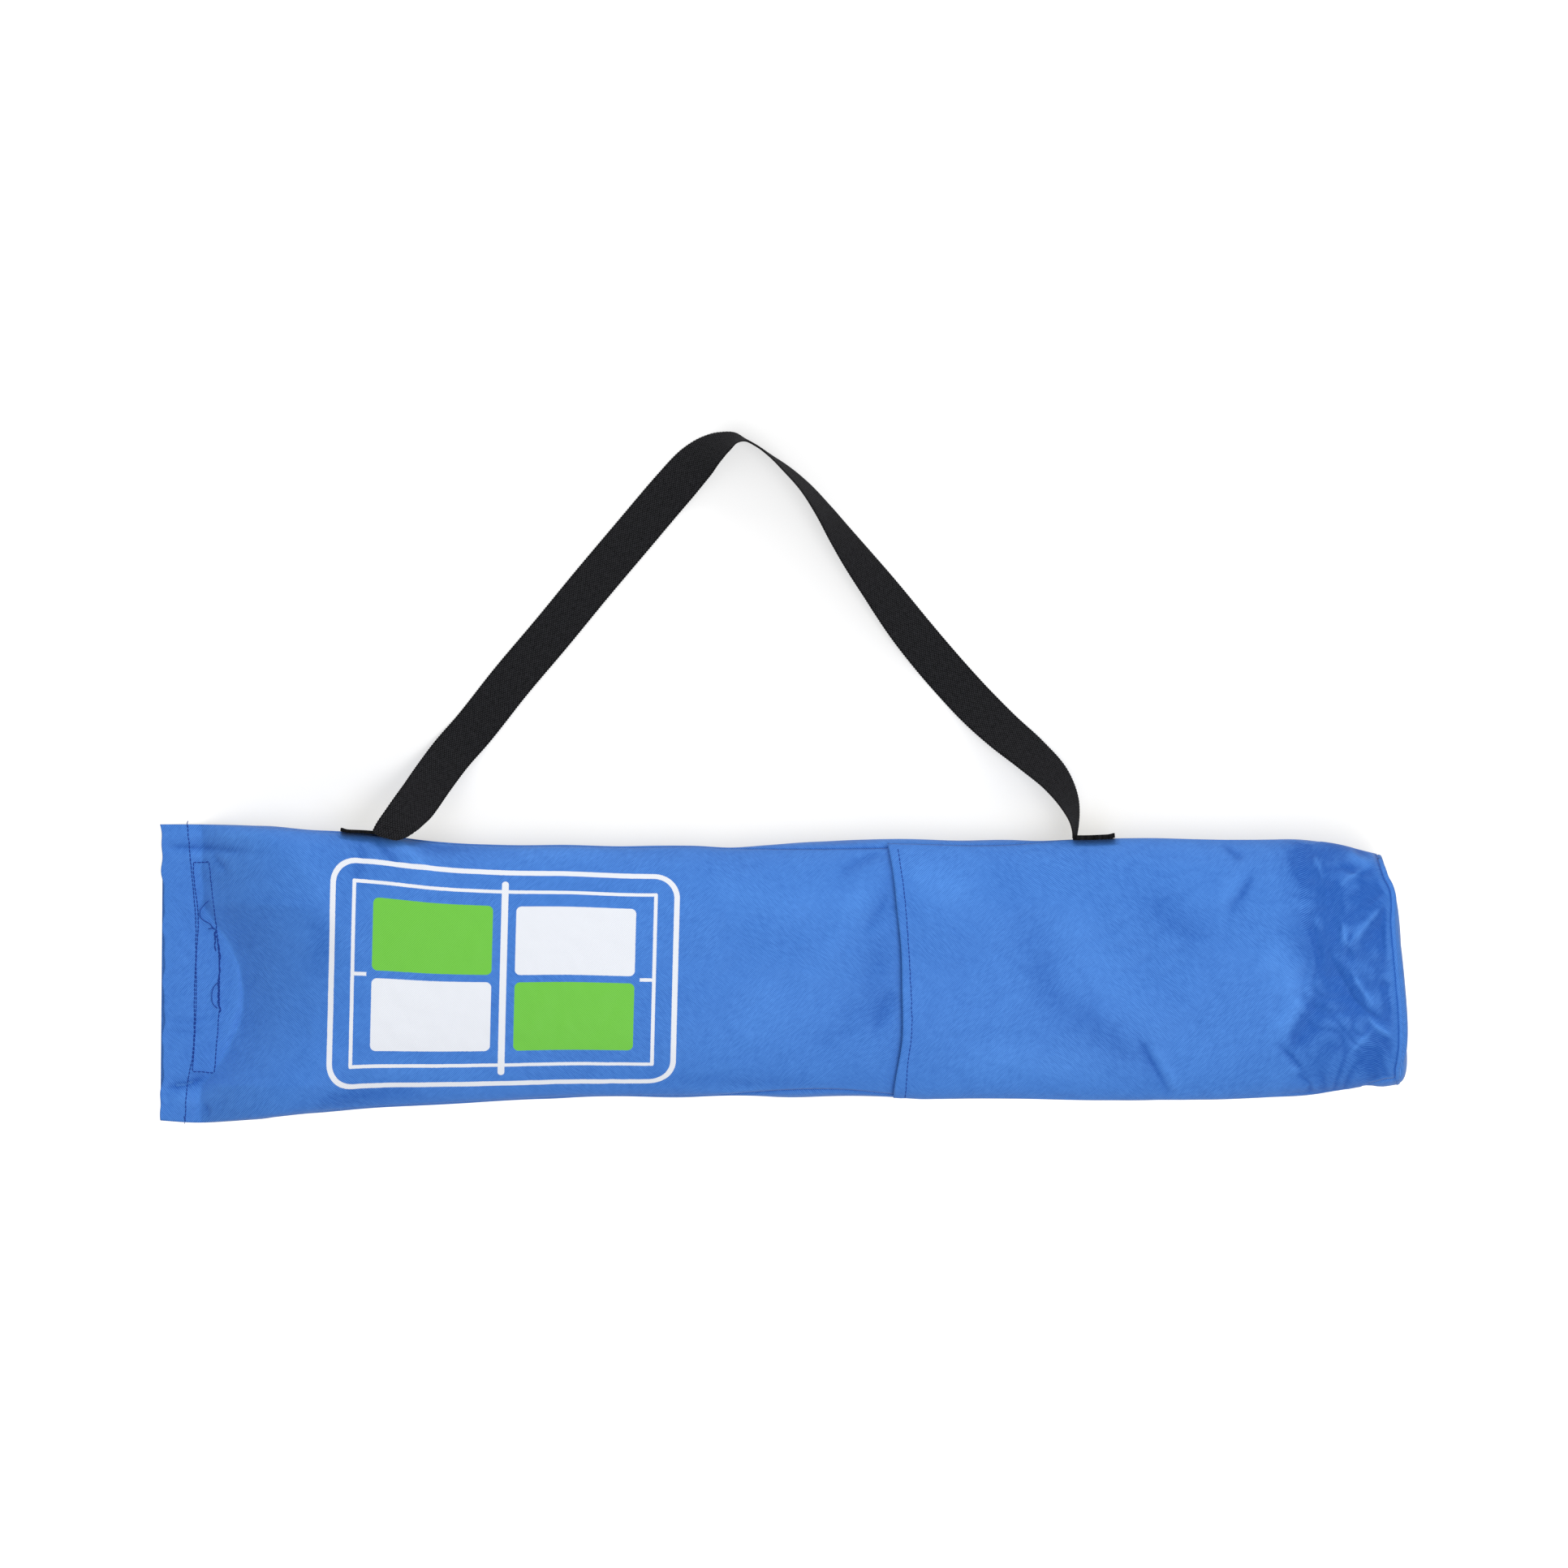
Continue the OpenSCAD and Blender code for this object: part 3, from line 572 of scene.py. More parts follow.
def group(name, inputs, work):
    """Node group with inputs by name and default, whose outputs are what work(tree, inputs) returns."""
    tree = bpy.data.node_groups.new(name, "ShaderNodeTree")
    for label, default in inputs.items():
        kind = "NodeSocketVector" if isinstance(default, tuple) else "NodeSocketFloat"
        tree.interface.new_socket(label, in_out="INPUT", socket_type=kind).default_value = default
    values = work(tree, tree.nodes.new("NodeGroupInput").outputs)
    for label in values:
        tree.interface.new_socket(label, in_out="OUTPUT", socket_type="NodeSocketFloat")
    add(tree, "NodeGroupOutput", values)
    return tree


def rgba(r, g, b):
    """Linear colour from sRGB values of 0 to 255."""
    return (*(((c / 255 + 0.055) / 1.055) ** 2.4 if c > 10 else c / 255 / 12.92 for c in (r, g, b)), 1)


def lines(tree, given):
    """Fine parallel lines: 0.5 + 0.5 sin(2 pi (place . direction) / pitch + warp)."""
    across = vector(tree, "DOT_PRODUCT", given["Vector"], given["Direction"]).outputs["Value"]
    turns = calc(tree, "DIVIDE", across, given["Pitch"])
    phase = calc(tree, "ADD", calc(tree, "MULTIPLY", turns, 2 * math.pi), given["Warp"])
    return {"Value": calc(tree, "MULTIPLY_ADD", calc(tree, "SINE", phase), 0.5, 0.5)}


LINES = group("fine_lines", {"Vector": ORIGIN, "Direction": (1, 1, 0), "Pitch": 1 * MM, "Warp": 0.0}, lines)


def twill(tree, given):
    """Twill of the coated cloth: diagonal lines that lean one way in some patches and the other in others.

    Streak is noise drawn out along the lines, and Cloud is a broad change of tone.
    """
    place = given["Vector"]
    way = between(tree, noise(tree, place, 9, 1), 0.44, 0.56)
    bend = calc(tree, "MULTIPLY", noise(tree, place, 60, 2), 2)
    def diagonal(degrees):
        angle = math.radians(degrees)
        line = use(tree, LINES, Vector=place, Pitch=given["Pitch"], Warp=bend,
                   Direction=(math.cos(angle), math.sin(angle), 0))[0]
        drawn = vector(tree, "MULTIPLY", turned(tree, place, -angle), (700, 160, 0)).outputs[0]
        return line, between(tree, noise(tree, drawn, 1, 2, 0.55), 0.32, 0.68)
    line, streak = (blend_value(tree, way, a, b) for a, b in zip(diagonal(47), diagonal(-44)))
    return {"Line": line, "Streak": streak, "Cloud": between(tree, noise(tree, place, 9, 4, 0.6), 0.3, 0.7)}


TWILL = group("twill", {"Vector": ORIGIN, "Pitch": 1.15 * MM}, twill)


def rounded_box(tree, given):
    """Distance to a rounded rectangle: with d = |place| - half + r, |max(d, 0)| + min(max(dx, dy), 0) - r."""
    size = vector(tree, "ABSOLUTE", vector(tree, "SUBTRACT", given["Vector"], given["Centre"]).outputs[0])
    over = vector(tree, "SUBTRACT", size.outputs[0], given["Half"]).outputs[0]
    parts = add(tree, "ShaderNodeSeparateXYZ", {0: over}).outputs
    dx, dy = (calc(tree, "ADD", parts[k], given["Radius"]) for k in (0, 1))
    ox, oy = (calc(tree, "MAXIMUM", d, 0.0) for d in (dx, dy))
    outside = calc(tree, "SQRT", calc(tree, "MULTIPLY_ADD", ox, ox, calc(tree, "MULTIPLY", oy, oy)))
    inside = calc(tree, "MINIMUM", calc(tree, "MAXIMUM", dx, dy), 0.0)
    return {"Distance": calc(tree, "SUBTRACT", calc(tree, "ADD", outside, inside), given["Radius"])}


BOX = group("rounded_box", {"Vector": ORIGIN, "Centre": ORIGIN, "Half": ORIGIN, "Radius": 0.0}, rounded_box)


def woven_tape(tree, given):
    """Woven tape: herringbone ribs crossed by picks, a fleck of noise, and a mask of its bound edges."""
    place = given["Vector"]
    def ribs(x, y, pitch):
        return use(tree, LINES, Vector=place, Direction=(x, y, 0), Pitch=pitch)[0]
    herring = calc(tree, "MULTIPLY", ribs(0.55, 0.83, 1.5 * MM), ribs(0.55, -0.83, 1.5 * MM))
    picks = calc(tree, "MULTIPLY", ribs(1, 0, 1.2 * MM), 0.25)
    across = calc(tree, "ABSOLUTE", add(tree, "ShaderNodeSeparateXYZ", {0: place}).outputs[1])
    from_edge = calc(tree, "SUBTRACT", given["Half"], across)
    return {
        "Height": calc(tree, "MULTIPLY_ADD", herring, 0.75, picks),
        "Fleck": noise(tree, place, 420, 3, 0.7),
        "Edge": between(tree, from_edge, 1.4 * MM, 0.9 * MM),
    }


TAPE = group("woven_tape", {"Vector": ORIGIN, "Half": STRAP_W / 2}, woven_tape)


# ---- materials ----

def shader(name, **values):
    """New material whose Principled shader has the given plain values: returns material, tree, shader."""
    material = bpy.data.materials.new(name)
    material.use_nodes = True
    tree = material.node_tree
    bsdf = tree.nodes["Principled BSDF"]
    for key, value in values.items():
        bsdf.inputs[key.replace("_", " ")].default_value = value
    return material, tree, bsdf


def feed(tree, bsdf, colour, rough, relief=None, distance=0.0, strength=1.0):
    """Links a colour, a roughness and, where there is one, a bump of the given depth to the shader."""
    tree.links.new(colour, bsdf.inputs["Base Color"])
    tree.links.new(rough, bsdf.inputs["Roughness"])
    if relief:
        bump = add(tree, "ShaderNodeBump", {"Height": relief, "Distance": distance, "Strength": strength})
        tree.links.new(bump.outputs[0], bsdf.inputs["Normal"])


PRINT_AT = (-198 * MM, -4 * MM)
PRINT_SIZE = (244 * MM, 162 * MM)
PRINT_TURN = math.radians(1.3)


def court_print(tree, place, cloth_colour, line):
    """Plan of a court in white and green ink: rounded outline, court lines, net and four service boxes.

    Returns the colour and the mask of the ink, through which the twill shows faintly.
    """
    moved = vector(tree, "SUBTRACT", place, (*PRINT_AT, 0)).outputs[0]
    place_in = turned(tree, moved, PRINT_TURN)
    def box(centre, half, radius=0.0):
        return use(tree, BOX, Vector=place_in, Centre=(*centre, 0), Half=(*half, 0), Radius=radius)[0]
    def stroke(distance, width):
        return calc(tree, "SUBTRACT", calc(tree, "ABSOLUTE", distance), width / 2)
    def union(*shapes):
        total = shapes[0]
        for shape in shapes[1:]:
            total = calc(tree, "MINIMUM", total, shape)
        return total
    margin, thick, thin, gap = 15 * MM, 3.9 * MM, 2.6 * MM, 5.5 * MM
    net_r, net_over, tick, rim_r, box_r = 2.4 * MM, 8 * MM, 5 * MM, 18 * MM, 4 * MM
    half_l, half_w = PRINT_SIZE[0] / 2, PRINT_SIZE[1] / 2
    court_l, court_w = half_l - margin, half_w - margin
    box_l, box_w = court_l / 2 - 2 * gap, (court_w - 2.5 * gap) / 2
    def service(sx, sy):
        return box((sx * (box_l + 1.5 * gap), sy * (box_w + gap / 2)), (box_l, box_w), box_r)
    white = union(
        stroke(box((0, 0), (half_l, half_w), rim_r), thick),
        stroke(box((0, 0), (court_l, court_w)), thin),
        box((0, 0), (net_r, court_w + net_over), net_r),
        *(box((side * (court_l - tick), 0), (tick, thin / 2)) for side in (-1, 1)),
        service(-1, -1), service(1, 1),
    )
    green = union(service(-1, 1), service(1, -1))
    ragged = calc(tree, "MULTIPLY", calc(tree, "SUBTRACT", noise(tree, place, 1500, 1), 0.5), 0.6 * MM)
    def ink(distance):
        return between(tree, calc(tree, "ADD", distance, ragged), 0.18 * MM, -0.18 * MM)
    white_ink, green_ink = ink(white), ink(green)
    def inked(mask, under, dark, light):
        return blend_colour(tree, mask, under, blend_colour(tree, line, rgba(*dark), rgba(*light)))
    colour = inked(green_ink, cloth_colour, (104, 190, 62), (126, 212, 80))
    colour = inked(white_ink, colour, (228, 233, 243), (246, 248, 253))
    return colour, calc(tree, "MAXIMUM", white_ink, green_ink)


def cloth_material(name, tone=1.0, printed=False):
    """Blue coated polyester: twill lines, streaks and clouds of tone, painted shade in its folds and painted
    highlight on their ridges, and a soft sheen.
    """
    material, tree, bsdf = shader(name, Sheen_Weight=0.2, Sheen_Roughness=0.4, Sheen_Tint=(0.9, 0.95, 1, 1),
                                  IOR=1.45, Specular_IOR_Level=0.2)
    place = on_cloth(tree)
    weave = use(tree, TWILL, Vector=place)
    line, streak = weave["Line"], weave["Streak"]
    # Painted shade in valleys and painted highlight on ridges, read from the fold attribute
    folds = add(tree, "ShaderNodeAttribute", attribute_name="fold").outputs["Fac"]
    share = calc(tree, "MULTIPLY_ADD", folds, 0.8, -0.28)
    for value, weight in ((line, 0.46), (streak, 0.2), (weave["Cloud"], 0.08)):
        share = calc(tree, "MULTIPLY_ADD", value, weight, share)
    dark, light = rgba(22 * tone, 84 * tone, 174 * tone), rgba(95 * tone, 160 * tone, 246 * tone)
    colour = blend_colour(tree, calc(tree, "ADD", share, 0.0, clamp=True), dark, light)
    rough = calc(tree, "MULTIPLY_ADD", line, -0.12, 0.6)
    relief = calc(tree, "MULTIPLY_ADD", streak, 0.6, line)
    if printed:
        colour, ink = court_print(tree, place, colour, line)
        rough = calc(tree, "MULTIPLY_ADD", ink, -0.1, rough)
        relief = calc(tree, "MULTIPLY", relief, calc(tree, "MULTIPLY_ADD", ink, -0.6, 1.0))
    feed(tree, bsdf, colour, rough, relief, 0.12 * MM, 0.7)
    return material


def webbing_material():
    """Black polypropylene webbing: a herringbone of fine ribs between two tight bound edges."""
    material, tree, bsdf = shader("black_webbing", Sheen_Weight=0.02, Sheen_Roughness=0.5,
                                  Specular_IOR_Level=0.1)
    tape = use(tree, TAPE, Vector=on_cloth(tree))
    ribs = calc(tree, "MULTIPLY", tape["Height"], calc(tree, "MULTIPLY_ADD", tape["Edge"], -0.7, 1.0))
    fleck = calc(tree, "MULTIPLY_ADD", tape["Fleck"], 2.6, -1.2)
    tone = calc(tree, "MULTIPLY_ADD", fleck, 0.5, calc(tree, "MULTIPLY", ribs, 1.3), clamp=True)
    colour = blend_colour(tree, tone, rgba(0, 0, 1), rgba(46, 46, 49))
    feed(tree, bsdf, colour, calc(tree, "MULTIPLY_ADD", ribs, -0.15, 0.85), ribs, 0.35 * MM, 0.9)
    return material


def thread_material():
    """Navy sewing thread with a twist."""
    material, tree, bsdf = shader("navy_thread", Specular_IOR_Level=0.2)
    twist = use(tree, LINES, Vector=on_object(tree), Direction=(1, 1, 0.4), Pitch=0.7 * MM)[0]
    colour = blend_colour(tree, twist, rgba(14, 44, 124), rgba(36, 80, 176))
    feed(tree, bsdf, colour, calc(tree, "MULTIPLY_ADD", twist, 0.1, 0.55))
    return material


def tape_material(name, dark, light, scale, depth):
    """Hook-and-loop or woven tape: a dense field of small bumps."""
    material, tree, bsdf = shader(name, Sheen_Weight=0.3, Sheen_Roughness=0.5)
    place = on_object(tree)
    field = add(tree, "ShaderNodeTexVoronoi", {"Vector": place, "Scale": scale, "Randomness": 0.55})
    fluff = calc(tree, "MULTIPLY", noise(tree, place, scale * 2.5, 3), 0.4)
    tone = calc(tree, "MULTIPLY_ADD", field.outputs["Distance"], 0.9, fluff, clamp=True)
    colour = blend_colour(tree, tone, rgba(*light), rgba(*dark))
    rough = calc(tree, "MULTIPLY_ADD", tone, 0.15, 0.72)
    feed(tree, bsdf, colour, rough, calc(tree, "SUBTRACT", 1.0, tone), depth)
    return material


def grain_material(name, dark, light, scale, roughness):
    """Powder coat or moulded plastic: fine orange peel with faint cloudy wear."""
    material, tree, bsdf = shader(name, Specular_IOR_Level=0.5)
    place = on_object(tree)
    peel = noise(tree, place, scale, 3, 0.6)
    wear = noise(tree, place, 30, 5, 0.65)
    colour = blend_colour(tree, wear, rgba(*dark), rgba(*light))
    feed(tree, bsdf, colour, calc(tree, "MULTIPLY_ADD", wear, 0.2, roughness), peel, 0.1 * MM, 0.6)
    return material


BLUE = cloth_material("blue_twill")
PRINTED = cloth_material("blue_twill_printed", printed=True)
HEM_BLUE = cloth_material("blue_twill_hem", 0.94)
WEBBING = webbing_material()
THREAD = thread_material()
HOOKS = tape_material("hook_tape", (16, 26, 62), (46, 66, 128), 900, 0.6 * MM)
LOOPS = tape_material("loop_tape", (20, 32, 80), (58, 80, 150), 500, 0.9 * MM)
NET = tape_material("net_twine", (8, 10, 10), (40, 48, 46), 700, 0.6 * MM)
BAND = tape_material("white_tape", (190, 192, 190), (240, 241, 240), 1400, 0.3 * MM)
STEEL = grain_material("powder_coat", (196, 199, 204), (222, 224, 228), 2500, 0.32)
POST_STEEL = grain_material("powder_coat_posts", (182, 186, 192), (210, 213, 218), 2500, 0.34)
PLASTIC = grain_material("moulded_plastic", (28, 30, 33), (42, 44, 48), 1800, 0.45)


# ---- the bag ----

def uv_of(x, s):
    """Flat place on the cut cloth: along the bag, and across it from the middle line."""
    return grid(x, (0.5 - s) * CLOTH_W)


def follow_lip(obj):
    """Bakes the piece's place into its points and reads them back; nothing follows the lip.
    """
    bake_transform(obj)
    co = np.empty(len(obj.data.vertices) * 3, np.float32)
    obj.data.vertices.foreach_get("co", co)


def front_grid(x, s):
    """Front panel between its side seams: places, how far they move out, and the part of that in creases and
    seam grooves, from which the cloth's shade and highlight are painted.
    """
    p = upper(x, section_angles(x, s))
    y = p[..., 1]
    hold = ramp(from_seam(s), 0, 9 * MM)
    mouth = ramp(x, MOUTH_X, MOUTH_X + 8 * MM)
    creases_and_painted_shade = add_folds(p, FRONT_FOLDS) * hold + 0.2 * MM * crumple(p, 36 * MM, 71) * hold * mouth
    depth = creases_and_painted_shade + 0.45 * MM * ripple(x, y, 95 * MM, 3, stretch=1.6) * hold * mix(0.3, 1, mouth)
    depth += 0.12 * MM * ripple(x, y, 26 * MM, 5) * hold * mouth
    depth += 0.05 * MM * ripple(x, y, 11 * MM, 7) * hold
    groove = seam_groove(from_seam(s)) * ramp(x, HEM_END_X, HINGE_X)
    return p, depth + groove, creases_and_painted_shade + groove


def under_pocket(x, s):
    """How far the front panel is pressed in under the pocket, so that the pocket's valleys have room."""
    deep = PRESSED_IN + PRESSED_MORE * ramp(x, EMPTY_FROM, EMPTY_FROM + 40 * MM)
    end = 1 - 0.8 * ramp(x, BASE_X - 12 * MM, BASE_X - PIPING_R)
    return deep * end * ramp(from_seam(s), 1 * MM, 12 * MM)


def hem_step(x, end):
    """Rise of the cloth over its turned-in hem, up to the hem's end."""
    return 0.35 * MM * (1 - ramp(x, *end))


def bag_front():
    """Front panel and mouth lip in one cloth, with a step where the hem is turned in."""
    fine, coarse = 1.1 * MM, 2.2 * MM
    lip = np.arange(MOUTH_X, CREASE_X + 10 * MM, fine)
    body = np.arange(lip[-1] + coarse, POCKET_X + 16 * MM, coarse)
    hidden = np.linspace(body[-1] + 8 * MM, BASE_X - PIPING_R, 40)
    x = np.concatenate([lip, body, hidden])[:, None]
    s = columns(107)
    p, depth, creases_and_painted_shade = front_grid(x, s)
    depth = mix(depth, -under_pocket(x, s), ramp(x, POCKET_X, POCKET_X + 14 * MM))
    depth = depth + hem_step(x, (HEM_END_X + 0.5 * MM, HEM_END_X + 2 * MM))
    obj = cloth("front_cloth", p + normals(p) * depth[..., None], PRINTED, uv_of(x, s))
    paint(obj, painted_fold_shade(creases_and_painted_shade, 1.5 * MM))
    follow_lip(obj)
    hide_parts("front_panel", "mouth_lip")
    return obj


def bag_back():
    """Back panel: both lower corners and the flat underside, up to the side seams."""
    x = np.concatenate([np.arange(MOUTH_X, PANEL_END_X - 2 * MM, 4 * MM), [PANEL_END_X]])[:, None]
    first, last = seam_angles(x)
    part = np.linspace(0, 1, 8)[None, :]
    corner = np.linspace(0, np.pi / 2, 12)[None, :]
    left, right = lower(x, 1, corner), lower(x, -1, corner[:, ::-1])
    p = np.concatenate([
        upper(x, first * (1 - part[:, :-1])), left,
        mix(left[:, -1:], right[:, :1], np.linspace(0, 1, 26)[None, 1:-1, None]),
        right, upper(x, np.pi - (np.pi - last) * part[:, 1:]),
    ], 1)
    y, z = p[..., 1], p[..., 2]
    run = lengths(p)
    s = run / run[:, -1:]
    inside = np.minimum(run, run[:, -1:] - run)
    raised = ramp(z, 3 * MM, 12 * MM) * ramp(inside, 0, 12 * MM)
    depth = 0.5 * MM * ripple(x, z * 2 + y, 60 * MM, 11) * raised
    depth += seam_groove(inside) * ramp(x, HEM_END_X, HINGE_X)
    p = p + normals(p, -1) * depth[..., None]
    p[..., 2] = np.maximum(p[..., 2], 0.02 * MM)
    obj = cloth("back_cloth", p, BLUE, uv_of(x, s), turn=-1)
    # Painted shade in the back panel's ripples and seam grooves, painted highlight on their rises
    paint(obj, painted_fold_shade(depth, 1.5 * MM))
    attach(obj, "bag")
    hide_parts("back_panel")


def mouth_hem(name, node, body):
    """Turned-in hem: a strip of cloth just inside the mouth, under the lip or on the back panel."""
    x = np.linspace(MOUTH_X + 0.3 * MM, MOUTH_X + HEM_W, 12)[:, None]
    s = np.linspace(0.03, 0.97, 60)[None, :]
    if body == "lip":
        p = upper(x, section_angles(x, s))
        p = p - normals(p) * (FABRIC_T + 0.1 * MM)
        thick = 0.5 * MM
    else:
        strap_side, far_side = sides(x)
        y = mix(strap_side - 1.5 * MM, far_side + 1.5 * MM, s)
        p = grid(settle(x, y), y, FABRIC_T + 0.75 * MM)
        thick = 0.6 * MM
    obj = cloth(name, p, HEM_BLUE, uv_of(x, s), thick=thick)
    paint(obj, LEVEL)
    if body == "lip":
        follow_lip(obj)
    else:
        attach(obj, body)
    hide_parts(node)


def pocket_gap(x, t):
    """Free space under the pocket, widest at the middle of its open edge."""
    return 0.3 * MM + 3 * MM * (1 - ramp(x, POCKET_X, POCKET_X + 60 * MM)) * np.minimum(1, 2 * np.sin(t))


def pocket_edge(y):
    """Open edge of the pocket: how far it lies towards the base, a bow drawn back at the far side."""
    bow = 6.2 * MM - 9.45 * MM * ((y + 26 * MM) / (111 * MM)) ** 2
    return bow - 3.6 * MM * ramp(y, -45 * MM, -92 * MM) + 0.25 * MM * np.sin(y / (9 * MM))


def pocket_points(x, s):
    """Pocket panel over the front: places, how far they move out, and the creases and seam grooves in that,
    with painted shade towards the base, from which the cloth's shade and highlight are painted.
    """
    t = section_angles(x, s)
    p = upper(x, t, FABRIC_T + pocket_gap(x, t))
    y = p[..., 1]
    p[..., 0] += pocket_edge(y) * (1 - ramp(x, POCKET_X, POCKET_X + 50 * MM))
    hold = ramp(from_seam(s), 0, 7 * MM) * (1 - 0.75 * ramp(x, BASE_X - 10 * MM, BASE_X - PIPING_R))
    gathered = ramp(x, BASE_X - 90 * MM, BASE_X - 40 * MM)
    creases_and_painted_shade = add_folds(p, POCKET_FOLDS) * hold
    creases_and_painted_shade += 0.7 * MM * crumple(p, 30 * MM, 27) * gathered * hold
    creases_and_painted_shade += 0.2 * MM * crumple(p, 34 * MM, 61) * (1 - gathered) * hold
    depth = creases_and_painted_shade + 0.5 * MM * ripple(x, y, 80 * MM, 21, stretch=1.3) * hold
    depth += 0.16 * MM * ripple(x, y, 22 * MM, 23) * hold * (0.4 + 1.4 * gathered)
    depth += 0.05 * MM * ripple(x, y, 10 * MM, 25) * hold * (0.6 + gathered)
    # Painted shade over the gathered cloth near the base: only the painted tone is lowered, not the shape
    creases_and_painted_shade -= 0.78 * MM * gathered * hold
    # Painted shade on the panel's end, where it curls in at the base
    creases_and_painted_shade -= 2 * MM * ramp(x, PANEL_END_X - 2 * MM, PANEL_END_X - 0.8 * MM)
    groove = seam_groove(from_seam(s))
    return p, depth + groove, creases_and_painted_shade + groove


def pocket():
    """Pocket panel with its folded hem, as two cloths."""
    hem_end, near_end = POCKET_X + POCKET_HEM_W, EMPTY_FROM + 20 * MM
    near, gathered = np.arange(POCKET_X, near_end, 1.9 * MM), np.linspace(near_end, PANEL_END_X, 125)
    x = np.concatenate([near, gathered])[:, None]
    s = columns(165)
    p, depth, creases_and_painted_shade = pocket_points(x, s)
    curl = -1.6 * MM * ramp(x, BASE_X - PIPING_R - 3 * MM, PANEL_END_X)
    p = p + normals(p) * (depth + hem_step(x, (hem_end, hem_end + 1 * MM)) + curl)[..., None]
    panel = cloth("pocket_cloth", p, BLUE, uv_of(x, s))
    paint(panel, painted_fold_shade(creases_and_painted_shade, 1.2 * MM))
    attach(panel, "bag")
    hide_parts("pocket_panel")

    x = np.linspace(POCKET_X + 0.2 * MM, hem_end, 6)[:, None]
    s = np.linspace(0.1, 0.9, 60)[None, :]
    p, depth, _ = pocket_points(x, s)
    p = p + normals(p) * (depth - 0.9 * MM)[..., None]
    hem = cloth("pocket_hem_cloth", p, HEM_BLUE, uv_of(x, s), thick=0.5 * MM)
    paint(hem, LEVEL)
    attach(hem, "bag")
    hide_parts("pocket_hem")
    return panel


def base_rim(inset):
    """Closed outline of the base, drawn in by inset, from the strap side over the crown."""
    x = np.full((1, 1), BASE_X)
    corner = np.linspace(0, np.pi / 2, 20)[None, :]
    over = upper(x, np.linspace(0, np.pi, 90)[None, :], -inset)[0]
    down = lower(x, -1, corner, -inset)[0]
    up = lower(x, 1, corner[:, ::-1], -inset)[0]
    under = mix(down[-1:], up[:1], np.linspace(0, 1, 45)[1:-1, None])
    return np.concatenate([over[:-1], down, under, up[:-1]])


def base():
    """Oval base: rings from its rim to its middle, at shares of the way out, closed by a fan of triangles.

    The rings bulge by (1 - share^7)^0.5, more towards the far side.
    """
    rim = base_rim(1.2 * MM)
    middle = np.array([rim[:, 0].mean(), rim[:, 1].mean(), BASE_H / 2])
    share = np.cos(np.linspace(0, np.pi / 2, 26))[:-1, None]
    p = middle + (rim - middle) * grid(share**2, share, share)
    y, z = p[..., 1], p[..., 2]
    bulge = 0.62 * BASE_BULGE * (1 - 0.6 * y / (80 * MM)) + 0.12 * BASE_BULGE * (1 - share)
    p[..., 0] += 0.4 * PIPING_R + (bulge + 0.25 * MM * ripple(y, z, 50 * MM, 31)) * np.sqrt(1 - share**7)
    rows, cols = p.shape[:2]
    count = rows * cols
    inner = p - np.array([FABRIC_T, 0, 0])
    points = np.concatenate([*p, *inner, [p[-1].mean(0), inner[-1].mean(0)]])
    outside = quads(rows, cols, wrap=True)[:, ::-1]
    faces = outside.tolist() + (outside[:, ::-1] + count).tolist()
    first = np.arange(cols)
    for a, b in zip(first, np.roll(first, -1)):
        last_a, last_b = a + count - cols, b + count - cols
        faces += [[last_b, last_a, 2 * count], [last_a + count, last_b + count, 2 * count + 1]]
        faces.append([a, b, b + count, a + count])
    obj = make("base_cloth", points, faces, BLUE, points[:, [1, 2]], "bag_fabric")
    # Painted light: the whole base is painted a tenth lighter than level cloth
    paint(obj, 1.1 * LEVEL)
    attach(obj, "bag")
    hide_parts("base_panel")


def piping():
    """Round piping sewn about the base, with the slight waves of its cover."""
    around = 14
    path = base_rim(PIPING_R) + (0.3 * MM, 0, 0)
    radius = PIPING_R * (1.06 + 0.03 * np.sin(26 * circle(len(path))))
    points, faces = tube(path, radius, around, loop=True)
    uv = grid(np.arange(len(path))[:, None] * 2.6 * MM, np.linspace(0, 12 * MM, around)[None, :])
    obj = make("piping_cloth", points, faces, BLUE, uv, "bag_fabric")
    paint(obj, LEVEL)
    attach(obj, "bag")
    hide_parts("base_piping")


# ---- strap ----

SEWN_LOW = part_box("strap_end_base")[0].z
SEWN_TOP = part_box("strap_end_base")[1].z
# Middle line of the strap: place in mm, turn about its own line in degrees, height of its lower edge in mm
ROUTE = np.array([
    (-276.5, 96.3, 0, 43.5), (-273.8, 101.6, 0, 43), (-267.5, 110, 0, 38), (-260.5, 118.9, 0, 30),
    (-248.7, 136.2, 0, 14), (-236, 153.5, 0, 4), (-221, 170.8, 0, 0), (-193.6, 205.4, 0, 0),
    (-164.4, 240, 0, 0), (-135.9, 274.7, 0, 0), (-106.7, 309.3, 0, 0), (-77.3, 343.9, 4, 0),
    (-61.7, 361.2, 20, 0), (-52.5, 369.5, 38, 0), (-42.5, 375.6, 56, 0), (-33.5, 378.6, 73, 0),
    (-27, 377.6, 86, 0), (-18.5, 373.4, 89, 0), (-8.5, 366.2, 87, 0), (1.2, 358.3, 81, 0),
    (16.2, 343.9, 74, 0), (29.7, 326.6, 65, 0), (41.6, 309.3, 54, 0), (54, 292, 43, 0), (67, 274.7, 33, 0),
    (93, 240, 12, 0), (122.3, 205.4, 0, 0), (138.4, 188.1, 6, 0), (156.6, 170.8, 18, 0), (177, 153.5, 29, 2),
    (194.4, 136.2, 43, 6), (204.2, 118.9, 61, 10), (207.9, 103, 79, 13), (208, 97.5, 83, 13),
    (207.8, 94, 84, 13),
], float)
# The fold at the mouth's end: across the webbing there, the length over which it turns square, its dip
FOLD_ACROSS = np.array([-1, 0.14, 0])
FOLD_RUN = 34 * MM
FOLD_DIP = 3.4 * MM
CORNER_RUN = 10 * MM


